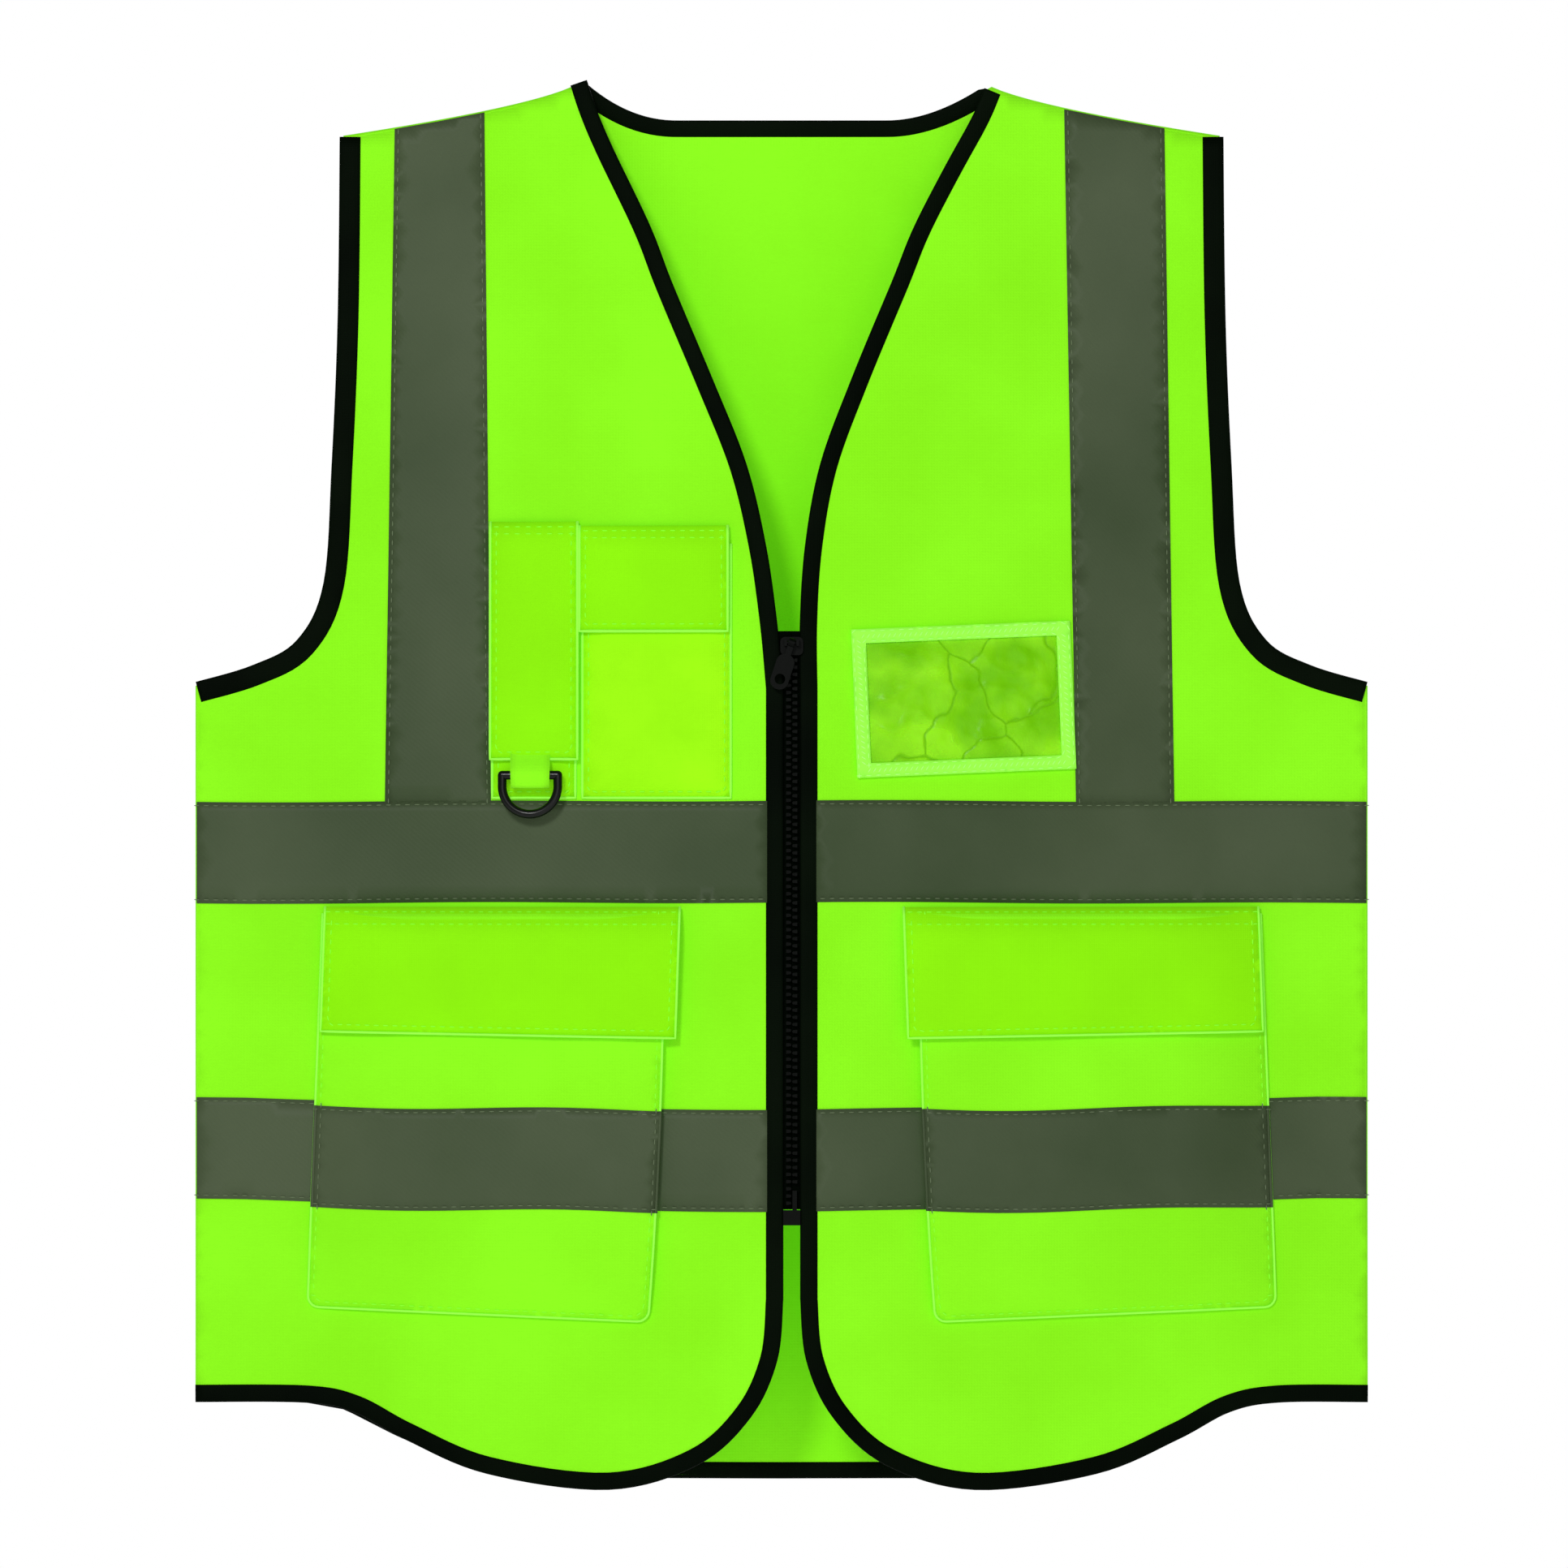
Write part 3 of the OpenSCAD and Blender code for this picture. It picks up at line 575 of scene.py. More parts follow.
def cloths(c, painted_glow):
    """Arguments of woven for each cloth and thread, by key."""
    return {
        # Warp-knitted polyester dyed fluorescent, which sends back more green than falls on it.
        # It is drawn with painted light of its own, an emission in its lighter tone that lights it
        # whatever falls on it and fills its shadows, so it reads as a flat, bright lime with little
        # shadow. Knit drawn at 1.8 times real.
        "knit": ("Fluorescent knitted polyester", c.shell_dark, c.shell_light,
                 1.4, 0.12, 0.82, 0.03, painted_glow, 90),
        # The same dye on tightly woven cloth, a shade yellower
        "flap": ("Fluorescent woven polyester", c.flap_dark, c.flap_light,
                 1.1, 0.07, 0.78, 0.02, painted_glow, 60),
        "pocket": ("Fluorescent woven polyester of the phone pocket", c.pocket_dark,
                   c.pocket_light, 1.1, 0.07, 0.78, 0.02, painted_glow, 40),
        # Lighter than the cloth and with 1.3 times its emission: a painted highlight along the
        # folded edges of flaps and pockets. On the card window frame the lighter tone is the
        # webbing's own and the emission is painted light.
        "edge": ("Folded edge with painted highlight", c.edge, c.edge, 0.9, 0.05, 0.75, 0.05, painted_glow * 1.3),
        # Continuous filament polyester tape folded over the cut edge: black with a soft grain
        "binding": ("Black polyester binding", c.black_dark, c.black_light,
                    0.9, 0.12, 0.6, 0.0, 0.0, 70, 0.02),
        "zip_cloth": ("Black zip tape cloth", c.black_dark, c.black_dark,
                      0.8, 0.12, 0.85, 0.0, 0.0, 70, 0.02),
        "thread_lime": ("Lime sewing thread", c.thread, c.thread, 0.6, 0.05, 0.6, 0.05, painted_glow),
        "thread_pale": ("Pale lime sewing thread", c.pale_dark, c.pale_light,
                        0.6, 0.05, 0.6, 0.05, painted_glow),
        "thread_grey": ("Grey green sewing thread", c.tape_thread, c.tape_thread,
                        0.6, 0.05, 0.6, 0.05),
        "hook": ("Hook and loop fastener", c.flap_dark, c.shell_dark, 1.0, 0.4, 0.9, 0.1),
    }


def reflective(colours):
    """Glass beads bonded to cloth: an even grey with a fine grain and a weak, broad shine."""
    material, tree, shader, where = new_material(
        "Glass bead reflective tape", {"Roughness": 0.5, "Specular IOR Level": 0.12})
    # Beads are 0.06 mm across and are drawn at 0.9 mm so that the grain shows
    grain = add(tree, "ShaderNodeTexNoise", inputs={"Scale": 1000 / 0.9, "Detail": 2.0},
                links={"Vector": where})
    weave = add(tree, "ShaderNodeTexWave", {"bands_direction": "DIAGONAL"},
                {"Scale": wave_scale(1.3), **THREAD_WAVE}, {"Vector": where})
    height = add(tree, "ShaderNodeMath", {"operation": "ADD"},
                 links={0: grain.outputs["Fac"], 1: weave.outputs["Fac"]})
    bump = add(tree, "ShaderNodeBump", inputs={"Strength": 0.35, "Distance": 0.06 * MM},
               links={"Height": height.outputs[0]})
    tree.links.new(tone(tree, where, colours.tape_dark, colours.tape_light, 160, 4.0),
                   shader.inputs["Base Color"])
    tree.links.new(bump.outputs["Normal"], shader.inputs["Normal"])
    return material


def moulded(code):
    """Injection moulded acetal: black with a slight, uneven satin shine."""
    material, tree, shader, where = new_material(
        "Black moulded acetal", {"Base Color": linear(code), "Specular IOR Level": 0.05})
    grain = add(tree, "ShaderNodeTexNoise", inputs={"Scale": 1000 / 0.7, "Detail": 3.0},
                links={"Vector": where})
    bump = add(tree, "ShaderNodeBump", inputs={"Strength": 0.2, "Distance": 0.03 * MM},
               links={"Height": grain.outputs["Fac"]})
    satin = add(tree, "ShaderNodeMapRange", inputs={"To Min": 0.32, "To Max": 0.48},
                links={"Value": grain.outputs["Fac"]})
    tree.links.new(satin.outputs["Result"], shader.inputs["Roughness"])
    tree.links.new(bump.outputs["Normal"], shader.inputs["Normal"])
    return material


def enamel(code):
    """Stoved enamel on bent wire: a smooth black coat with a narrow highlight."""
    material, tree, shader, where = new_material(
        "Black enamelled steel wire", {"Base Color": linear(code), "Roughness": 0.3,
                                       "Specular IOR Level": 0.15, "Coat Weight": 0.08})
    orange_peel = add(tree, "ShaderNodeTexNoise", inputs={"Scale": 1000 / 2.5, "Detail": 1.0},
                      links={"Vector": where})
    bump = add(tree, "ShaderNodeBump", inputs={"Strength": 0.15, "Distance": 0.05 * MM},
               links={"Height": orange_peel.outputs["Fac"]})
    tree.links.new(bump.outputs["Normal"], shader.inputs["Normal"])
    return material


# Width of the darker line painted as shade along a crease in the film and the size of the facets
# between creases, in millimetres
CREASE_W = 0.9
FACET = 62


def film(colours):
    """Soft PVC film: clear, with lighter and darker patches painted as the light and shade of its
    crinkles, creases painted darker as shade, and bumps that catch the light.
    """
    material, tree, shader, where = new_material(
        "Clear PVC film", {"Roughness": 0.3, "Specular IOR Level": 0.12, "Alpha": 0.45})
    # Painted light and shade of the crinkles: patches between a darker and a lighter tone
    painted_crinkle_light_and_shade = tone(tree, where, colours.film_painted_shade, colours.film, 24, 2.0)
    warp = add(tree, "ShaderNodeTexNoise", inputs={"Scale": 1000 / 30, "Detail": 2.0},
               links={"Vector": where})
    bent = add(tree, "ShaderNodeVectorMath", {"operation": "MULTIPLY_ADD"},
               inputs={1: (0.03, 0.03, 0.03)}, links={0: warp.outputs["Color"], 2: where})
    fold = add(tree, "ShaderNodeTexVoronoi", {"feature": "DISTANCE_TO_EDGE"},
               inputs={"Scale": 1000 / FACET}, links={"Vector": bent.outputs["Vector"]})
    near = add(tree, "ShaderNodeMapRange", inputs={"From Max": CREASE_W / FACET},
               links={"Value": fold.outputs["Distance"]})
    # Painted shade: the creases are drawn in a darker colour
    colour = add(tree, "ShaderNodeMix", {"data_type": "RGBA"},
                 inputs={6: linear(colours.film_crease_painted_shade)},
                 links={0: near.outputs["Result"], 7: painted_crinkle_light_and_shade})
    height = add(tree, "ShaderNodeMath", {"operation": "ADD"},
                 links={0: near.outputs["Result"], 1: warp.outputs["Fac"]})
    bump = add(tree, "ShaderNodeBump", inputs={"Strength": 0.4, "Distance": 1.0 * MM},
               links={"Height": height.outputs[0]})
    tree.links.new(colour.outputs[2], shader.inputs["Base Color"])
    tree.links.new(bump.outputs["Normal"], shader.inputs["Normal"])
    return material


def floor_paint():
    """Matt white paint with a faint mottle, as pale as the room around it."""
    material, tree, shader, where = new_material(
        "Matt white floor paint", {"Roughness": 0.9, "Emission Color": (1, 1, 1, 1),
                                   "Emission Strength": 0.35})
    tree.links.new(tone(tree, where, "#F4F4F4", "#FAFAFA", 400), shader.inputs["Base Color"])
    return material


MATERIALS = {}


def material_of(key):
    """A material of the vest, made when it is first asked for."""
    if not MATERIALS:
        colours = bpy.context.scene.vest_colours
        rows = cloths(colours, bpy.context.scene.vest_sizes.painted_glow)
        MATERIALS.update({name: woven(*row) for name, row in rows.items()})
        MATERIALS.update(tape=reflective(colours), plastic=moulded(colours.plastic),
                         steel=enamel(colours.plastic), vinyl=film(colours), floor=floor_paint())
    return MATERIALS[key]


# ---------------------------------------------------------------- geometry nodes


def node_group(name, inputs):
    """A geometry node tree with named inputs, and its input and output nodes."""
    tree = bpy.data.node_groups.new(name, "GeometryNodeTree")
    tree.interface.new_socket("Geometry", in_out="INPUT", socket_type="NodeSocketGeometry")
    for label, kind, value in inputs:
        socket = tree.interface.new_socket(label, in_out="INPUT", socket_type=kind)
        if value is not None:
            socket.default_value = value
    tree.interface.new_socket("Geometry", in_out="OUTPUT", socket_type="NodeSocketGeometry")
    return tree, add(tree, "NodeGroupInput"), add(tree, "NodeGroupOutput")


def repeated(tree, spread, turn, shape, material, result):
    """Ends a tree: the shape at every point, made real and given its material."""
    row = add(tree, "GeometryNodeInstanceOnPoints", links={
        "Points": spread.outputs["Points"], "Rotation": turn,
        "Instance": shape.outputs["Geometry"]})
    real = add(tree, "GeometryNodeRealizeInstances",
               links={"Geometry": row.outputs["Instances"]})
    coloured = add(tree, "GeometryNodeSetMaterial", links={
        "Geometry": real.outputs["Geometry"], "Material": material})
    tree.links.new(coloured.outputs["Geometry"], result.inputs["Geometry"])
    return tree


def stitch_tree():
    """Stitches along every spline of a curve: one long bead of thread per pitch."""
    tree, given, result = node_group("Stitches along a seam", [
        ("Pitch", "NodeSocketFloat", 0.0047), ("Length", "NodeSocketFloat", 0.0027),
        ("Width", "NodeSocketFloat", 0.0006), ("Thread", "NodeSocketMaterial", None)])
    spread = add(tree, "GeometryNodeCurveToPoints", {"mode": "LENGTH"},
                 links={"Curve": given.outputs["Geometry"], "Length": given.outputs["Pitch"]})
    bead = add(tree, "GeometryNodeMeshUVSphere", inputs={"Segments": 6, "Rings": 4, "Radius": 0.5})
    size = add(tree, "ShaderNodeCombineXYZ", links={
        "X": given.outputs["Width"], "Y": given.outputs["Width"], "Z": given.outputs["Length"]})
    shaped = add(tree, "GeometryNodeTransform", links={
        "Geometry": bead.outputs["Mesh"], "Scale": size.outputs["Vector"]})
    return repeated(tree, spread, spread.outputs["Rotation"], shaped, given.outputs["Thread"],
                    result)


def tooth_tree():
    """Moulded zip teeth along a line: a foot on the tape, a neck and a round head."""
    tree, given, result = node_group("Row of zip teeth", [
        ("Pitch", "NodeSocketFloat", 0.0035), ("Turn", "NodeSocketRotation", None),
        ("Plastic", "NodeSocketMaterial", None)])
    spread = add(tree, "GeometryNodeCurveToPoints", {"mode": "LENGTH"},
                 links={"Curve": given.outputs["Geometry"], "Length": given.outputs["Pitch"]})
    foot = add(tree, "GeometryNodeMeshCube", inputs={"Size": (0.0013, 0.0023, 0.0017)})
    neck = add(tree, "GeometryNodeMeshCube", inputs={"Size": (0.0012, 0.0016, 0.0009)})
    head = add(tree, "GeometryNodeMeshCylinder",
               inputs={"Vertices": 12, "Radius": 0.00078, "Depth": 0.0021})
    parts = add(tree, "GeometryNodeJoinGeometry")
    for part, x, turn in ((foot, 0.0021, 0.0), (neck, 0.0014, 0.0), (head, 0.0010, math.pi / 2)):
        moved = add(tree, "GeometryNodeTransform",
                    inputs={"Translation": (x, 0, 0), "Rotation": (turn, 0, 0)},
                    links={"Geometry": part.outputs["Mesh"]})
        tree.links.new(moved.outputs["Geometry"], parts.inputs["Geometry"])
    return repeated(tree, spread, given.outputs["Turn"], parts, given.outputs["Plastic"], result)


def evaluated_mesh(thing):
    """A plain mesh of an object with its modifiers applied."""
    bpy.context.view_layer.update()
    return bpy.data.meshes.new_from_object(
        thing.evaluated_get(bpy.context.evaluated_depsgraph_get()))


def grown(name, lines, tree, values):
    """A plain mesh of what the tree makes along lines of points in metres."""
    curve = bpy.data.curves.new(name + "_lines", "CURVE")
    curve.dimensions = "3D"
    for line in lines:
        spline = curve.splines.new("POLY")
        spline.points.add(len(line) - 1)
        for point, where in zip(spline.points, line):
            point.co = (*where, 1)
    holder = bpy.data.objects.new(name + "_lines", curve)
    bpy.context.scene.collection.objects.link(holder)
    modifier = holder.modifiers.new("Grow", "NODES")
    modifier.node_group = tree
    sockets = {item.name: item.identifier for item in tree.interface.items_tree
               if item.in_out == "INPUT"}
    for label, value in values.items():
        modifier[sockets[label]] = value
    mesh = evaluated_mesh(holder)
    bpy.data.objects.remove(holder)
    bpy.data.curves.remove(curve)
    if not mesh.polygons:
        raise RuntimeError("nothing grew along the lines of " + name)
    mesh.name = name
    thing = bpy.data.objects.new(name, mesh)
    bpy.context.scene.collection.objects.link(thing)
    return thing


# Seams wait here until the stitching operator sews them: (group, thread, line in metres)
SEAMS = []


# A row of stitches lies this far above its cloth
THREAD_LIFT = 0.15


def seam(group, thread, path, level, face="front"):
    """Notes a row of stitches along a path at a level, a number or a function."""
    top = raised(level)
    line = [place(face, x, z, top(x, z)) for x, z in resample(path, 5)]
    SEAMS.append((group, thread, line))


# ---------------------------------------------------------------- user settings


def length_setting(name, description, default, low, high):
    """A setting that holds a length in metres."""
    return bpy.props.FloatProperty(name=name, description=description, default=default,
                                   min=low, max=high, precision=4, unit="LENGTH")


class VestSizes(bpy.types.PropertyGroup):
    """Sizes that a user would change."""
    wrinkle: length_setting("Wrinkle", "Height of the soft waves in the cloth",
                            0.0016, 0.0, 0.004)
    cell: length_setting("Cloth cell", "Distance between the points of a cloth mesh",
                         0.007, 0.003, 0.02)
    stitch_pitch: length_setting("Stitch pitch", "Distance from one stitch to the next",
                                 0.0047, 0.002, 0.008)
    stitch_length: length_setting("Stitch length", "Visible length of a stitch",
                                  0.0027, 0.001, 0.006)
    thread_width: length_setting("Thread width", "Thickness of the sewing thread",
                                 0.0006, 0.0002, 0.0012)
    tooth_pitch: length_setting("Tooth pitch", "Distance between the zip teeth of one row",
                                0.0035, 0.0025, 0.005)
    # Strength of the painted light of the lime cloths and threads: emission that lights them
    # whatever falls on them and fills their shadows
    painted_glow: bpy.props.FloatProperty(
        name="Painted emission", description="Light that the dye adds to what falls on it",
        default=0.25, min=0.0, max=1.0, subtype="FACTOR")


def colour_setting(name, description, default):
    """A setting that holds an sRGB hex colour."""
    return bpy.props.StringProperty(name=name, description=description, default=default)


class VestColours(bpy.types.PropertyGroup):
    """Colours of the vest as sRGB hex values."""
    shell_dark: colour_setting("Shell, darker", "Darker tone of the shell cloth", "#74D00E")
    shell_light: colour_setting("Shell, lighter", "Lighter tone of the shell cloth", "#7ADA15")
    flap_dark: colour_setting("Flaps, darker", "Darker tone of the flaps", "#76CC00")
    flap_light: colour_setting("Flaps, lighter", "Lighter tone of the flaps", "#7AD400")
    pocket_dark: colour_setting("Phone pocket, darker", "Its darker tone", "#80D202")
    pocket_light: colour_setting("Phone pocket, lighter", "Its lighter tone", "#8ADB08")
    # Lighter than the shell: a painted highlight along the folded edges of flaps and pockets; on
    # the card window frame, the lighter tone of its webbing
    edge: colour_setting("Folded edges with painted highlight", "Edges of flaps and pockets", "#86E040")
    black_dark: colour_setting("Black, darker", "Darker tone of the binding", "#010501")
    black_light: colour_setting("Black, lighter", "Lighter tone of the binding", "#040C03")
    thread: colour_setting("Lime thread", "Thread on the lime cloth", "#80E22C")
    pale_dark: colour_setting("Pale thread, darker", "Thread of the card window", "#98EE60")
    pale_light: colour_setting("Pale thread, lighter", "Its lighter tone", "#A6F872")
    tape_thread: colour_setting("Tape thread", "Thread on the tape", "#5E6C50")
    tape_dark: colour_setting("Tape, darker", "Darker tone of the tape", "#36442B")
    tape_light: colour_setting("Tape, lighter", "Lighter tone of the tape", "#455139")
    plastic: colour_setting("Plastic", "Zip and ring", "#020402")
    # The film's two tones paint the light and shade of its crinkles, and its crease colour paints
    # shade along the creases
    film: colour_setting("Film", "Clear film of the card window", "#A4F01C")
    film_painted_shade: colour_setting("Film, painted shade", "Darker tone of the film", "#78C800")
    film_crease_painted_shade: colour_setting("Film creases, painted shade", "Lines where the film is creased", "#70BC00")


class VestOperator(bpy.types.Operator):
    """Common base of the operators that make pieces."""
    bl_options = {"REGISTER", "UNDO"}


# ---------------------------------------------------------------- pieces


class VEST_OT_shell(VestOperator):
    """Make the back and the two fronts of knitted cloth, with their seams"""
    bl_idname = "vest.shell"
    bl_label = "Shell"

    def execute(self, context):
        cell = context.scene.vest_sizes.cell / MM
        outline = back_outline()
        finish(cloth("back_shell", "back", outline, "knit", CLOTH_T, CLOTH_T, cell),
               "shell_cloth", on_body, "back_panel", cut=outline)
        for name, side in SIDES.items():
            outline = front_outline(side)
            finish(cloth("front_shell_" + name, "front", outline, "knit", CLOTH_T, CLOTH_T, cell),
                   "shell_cloth", partial(on_front, side_name=name),
                   "front_panel_" + name, "side_panel_" + name, cut=outline)
            top = [Vector((side * x, 0, ridge_z(x) - 0.8)) * MM
                   for x in numpy.linspace(NECK_X + 5, SHOULDER_X - 1, 24)]
            down = [Vector((side * (HALF_W - 1.0), 0, z)) * MM
                    for z in numpy.linspace(-299, -HEM_SIDE + 1, 60)]
            for label, line, radius, flat in (("shoulder_seam_", top, 1.3, 1.15),
                                              ("side_seam_", down, 1.1, 1.4)):
                finish(tube(label + name, line, radius, "knit", flat=flat), "shell_cloth", on_body)
        return {"FINISHED"}


class VEST_OT_bindings(VestOperator):
    """Make the black bindings of the fronts, armholes, neck and hem"""
    bl_idname = "vest.bindings"
    bl_label = "Bindings"

    def execute(self, context):
        for name, side in SIDES.items():
            finish(binding("front_edge_binding_" + name, "front", front_edge(side), BIND_W * side),
                   "binding", partial(on_front, side_name=name), "front_binding_" + name)
            for face, nodes in (("front", ["armhole_binding_" + name]), ("back", [])):
                finish(binding("armhole_binding_%s_%s" % (face, name), face, armhole(side),
                               -ARM_BIND_W * side), "binding", on_body, *nodes)
        neck = [(x, neck_z(x)) for x in numpy.linspace(*NECK_ENDS, 61)]
        finish(binding("neck_binding", "back", neck, -HEM_BIND_W), "binding", on_body,
               "back_neck_binding")
        hem = [(x, hem_z(x)) for x in numpy.linspace(-HALF_W, HALF_W, 121)]
        finish(binding("back_hem", "back", hem, HEM_BIND_W), "binding", on_body,
               "back_hem_binding")
        return {"FINISHED"}


def band_drift(x, sag):
    """How far a band of tape lies off its level, sag in the middle and nothing at the sides."""
    return -sag * (1 - min(1.0, abs(x) / 265) ** 1.5) + 0.35 * math.sin(x / 31)


def band(low, high, x0, x1, sag=0.0):
    """Outline of a band of tape between two distances from the middle."""
    xs = [float(x) for x in numpy.linspace(x0, x1, max(2, round(abs(x1 - x0) / 12)))]
    foot = [(x, low + band_drift(x, sag)) for x in xs]
    return foot + [(x, high + band_drift(x, sag)) for x in reversed(xs)]


TAPE_T = 0.4
TAPE_LEVEL = CLOTH_T + TAPE_T + 0.15
STITCH_IN = 1.8
# The waist tape hangs lower at the zip than at the side seams
WAIST_TAPE = (WAIST_LOW.z + 1.4, WAIST_HIGH.z + 1.4)
WAIST_SAG = 5.6
BANDS = {"chest": (CHEST_LOW.z, CHEST_HIGH.z, -0.6), "waist": (*WAIST_TAPE, WAIST_SAG)}
# Edges of the shoulder tapes from the middle, at the shoulder line and at the chest tape
SHOULDER_TAPES = {"left": ((146.6, 190.8), (143.2, 195.6)),
                  "right": ((139.4, 188.8), (145.0, 193.6))}
BACK_TAPES = ((TAPE_X, TAPE_X + TAPE_W), (TAPE_X, TAPE_X + TAPE_W))


def band_seams(group, face, low, high, x0, x1, sag):
    """Rows of stitches just inside the long edges of a band."""
    for z in (low + STITCH_IN, high - STITCH_IN):
        path = [(float(x), z + band_drift(x, sag))
                for x in numpy.linspace(x0, x1, max(2, round(abs(x1 - x0) / 6)))]
        seam(group, "thread_grey", path, TAPE_LEVEL + THREAD_LIFT, face)


def shoulder_tape(name, face, nodes, edges, group, ride):
    """One tape from the shoulder line down to the chest tape, which it spreads towards."""
    side = SIDES[name]
    foot = CHEST_HIGH.z - 0.5
    (a, b), (c, d) = ([side * x for x in pair] for pair in edges)
    outline = [(c, foot), (d, foot)] + [(x, ridge_z(x) - 0.3) for x in (b, (a + b) / 2, a)]
    finish(cloth("shoulder_tape_%s_%s" % (face, name), face, outline, "tape", TAPE_LEVEL,
                 TAPE_T, 7), "reflective_tape", ride, *nodes, cut=outline)
    for low_x, high_x, inset in ((c, a, STITCH_IN), (d, b, -STITCH_IN)):
        low_x, high_x = low_x + side * inset, high_x + side * inset
        seam(group, "thread_grey", [(low_x, foot + 1), (high_x, ridge_z(high_x) - 2)],
             TAPE_LEVEL + THREAD_LIFT, face)


class VEST_OT_tapes(VestOperator):
    """Make the reflective tapes of the fronts and the back"""
    bl_idname = "vest.tapes"
    bl_label = "Reflective tapes"

    def execute(self, context):
        for name, side in SIDES.items():
            here = partial(on_front, side_name=name)
            start = ZIP_X + side * (EDGE_HALF + BIND_W - 1.5)
            end = side * (HALF_W - 0.5)
            for row, (low, high, sag) in BANDS.items():
                outline = band(low, high, start, end, sag)
                nodes = [row + "_tape_" + name]
                if row == "waist":
                    nodes.append("side_tape_ends_" + name)
                finish(cloth("%s_tape_front_%s" % (row, name), "front", outline, "tape",
                             TAPE_LEVEL, TAPE_T, 7), "reflective_tape", here, *nodes, cut=outline)
                band_seams("front_" + name, "front", low, high, start + side * 4, end, sag)
            shoulder_tape(name, "front", ("shoulder_tape_" + name, "side_shoulder_tape_" + name),
                          SHOULDER_TAPES[name], "front_" + name, here)
            shoulder_tape(name, "back", ("back_shoulder_tape_" + name,), BACK_TAPES, "back",
                          on_body)
        for row, (low, high, sag) in BANDS.items():
            outline = band(low, high, -HALF_W + 0.5, HALF_W - 0.5, sag)
            finish(cloth(row + "_tape_back", "back", outline, "tape", TAPE_LEVEL, TAPE_T, 7),
                   "reflective_tape", on_body, "back_%s_tape" % row, cut=outline)
            band_seams("back", "back", low, high, -HALF_W + 1, HALF_W - 1, sag)
        return {"FINISHED"}


# Lower pockets, as distances from the zip
POCKET_MOUTH = -411.0
POCKET_FOOT = -609.0
POCKET_TOP_U = (62.8, 231.2)
POCKET_FOOT_U = (70.5, 238.5)
POCKET_SLOPE = 0.04
POCKET_RISE = 7.4
# Corner radius, as a share of the width and in millimetres of height
POCKET_R = (0.032, 5.5)
EDGE_LEVEL = CLOTH_T + 0.9
FLAP_TOP = -407.6
FLAP_FOOT = -472.0
FLAP_U = (55.0, 231.5)
# Length of cloth below the hinges of the lower flaps and of the chest flaps
LOWER_FLAP_RUN = 9
CHEST_FLAP_RUN = 7


def pocket_sides(z):
    """Distances from the zip of the two sides of a lower pocket at height z."""
    share = clamp((POCKET_MOUTH - z) / (POCKET_MOUTH - POCKET_FOOT))
    return (POCKET_TOP_U[0] + (POCKET_FOOT_U[0] - POCKET_TOP_U[0]) * share ** 2,
            POCKET_TOP_U[1] + (POCKET_FOOT_U[1] - POCKET_TOP_U[1]) * share)


def pocket_foot(u):
    """Height of the bottom edge of a lower pocket, which falls towards the zip."""
    middle = sum(POCKET_FOOT_U) / 2
    return POCKET_FOOT + 1.0 + POCKET_SLOPE * (u - middle)


def pocket_tape_drift(x):
    """How far the tape on a lower pocket lies off its level: lower than the tape beside it."""
    share = (abs(x - ZIP_X) - POCKET_TOP_U[0]) / (POCKET_TOP_U[1] - POCKET_TOP_U[0])
    return band_drift(x, WAIST_SAG) - 0.6 - 2.4 * share + 0.8 * math.sin(x / 23)


def pocket_level(x, z):
    """Outer face of a lower pocket: open and proud on the zip side, flat at its other edges."""
    u = abs(x - ZIP_X)
    near, far = pocket_sides(z)
    across = (0.55 + 0.45 * swell((u - near) / 36)) * (0.1 + 0.9 * swell((far - u) / 44))
    wavy = 0.35 * noise.noise(Vector((x * 0.02, z * 0.02, 31)))
    up = 0.12 + 0.88 * swell((z - pocket_foot(u)) / 34)
    return EDGE_LEVEL + (POCKET_RISE + wavy) * across * up


def flap_shift(z):
    """How far a lower flap has moved outwards at height z."""
    return 2.2 * (FLAP_TOP - z) / (FLAP_TOP - FLAP_FOOT)


def flap_level(x, z):
    """Outer face of a lower flap, which rises from its sewn top over the pocket."""
    u = abs(x - ZIP_X) - flap_shift(z)
    side = swell((u - FLAP_U[0] + 16) / 44) * swell((FLAP_U[1] - u + 7) / 44)
    lip = 0.5 * math.sin(u / 17 + 1) * ease((FLAP_TOP - z - 30) / 30)
    return EDGE_LEVEL + 1.1 + (9.2 + lip) * side * swell((FLAP_TOP + 1 - z) / 16)


def rounded_box(u0, u1, z0, z1, radius, steps=5):
    """Outline of a box with its two lower corners rounded, from the top left downwards.

    The radius is a pair, along u and along z, because u may be a share of the width.
    """
    wide, high = radius
    out = [(u0, z1)]
    for u, first in ((u0 + wide, math.pi), (u1 - wide, 1.5 * math.pi)):
        out += [(u + wide * math.cos(first + k / steps * math.pi / 2),
                 z0 + high + high * math.sin(first + k / steps * math.pi / 2))
                for k in range(steps + 1)]
    out.append((u1, z1))
    return out


def edge_cord(name, path, level, radius, ride, slot="shell_cloth", key="edge"):
    """A thin folded edge along an open path on a front."""
    top = raised(level)
    line = [place("front", x, z, top(x, z)) for x, z in resample(path, 4)]
    finish(tube(name, line, radius, key, sides=6), slot, ride)


def fasteners(names, nodes, corners, side, levels, rides):
    """Hooks on a pocket and, facing them, loops inside its flap."""
    (near, low), (far, high) = corners
    outline = flip([(near, low), (far, low), (far, high), (near, high)], side)
    for name, node, level, ride in zip(names, nodes, levels, rides):
        finish(cloth(name, "front", outline, "hook", level, 0.5, 5), "hook_loop", ride, node)


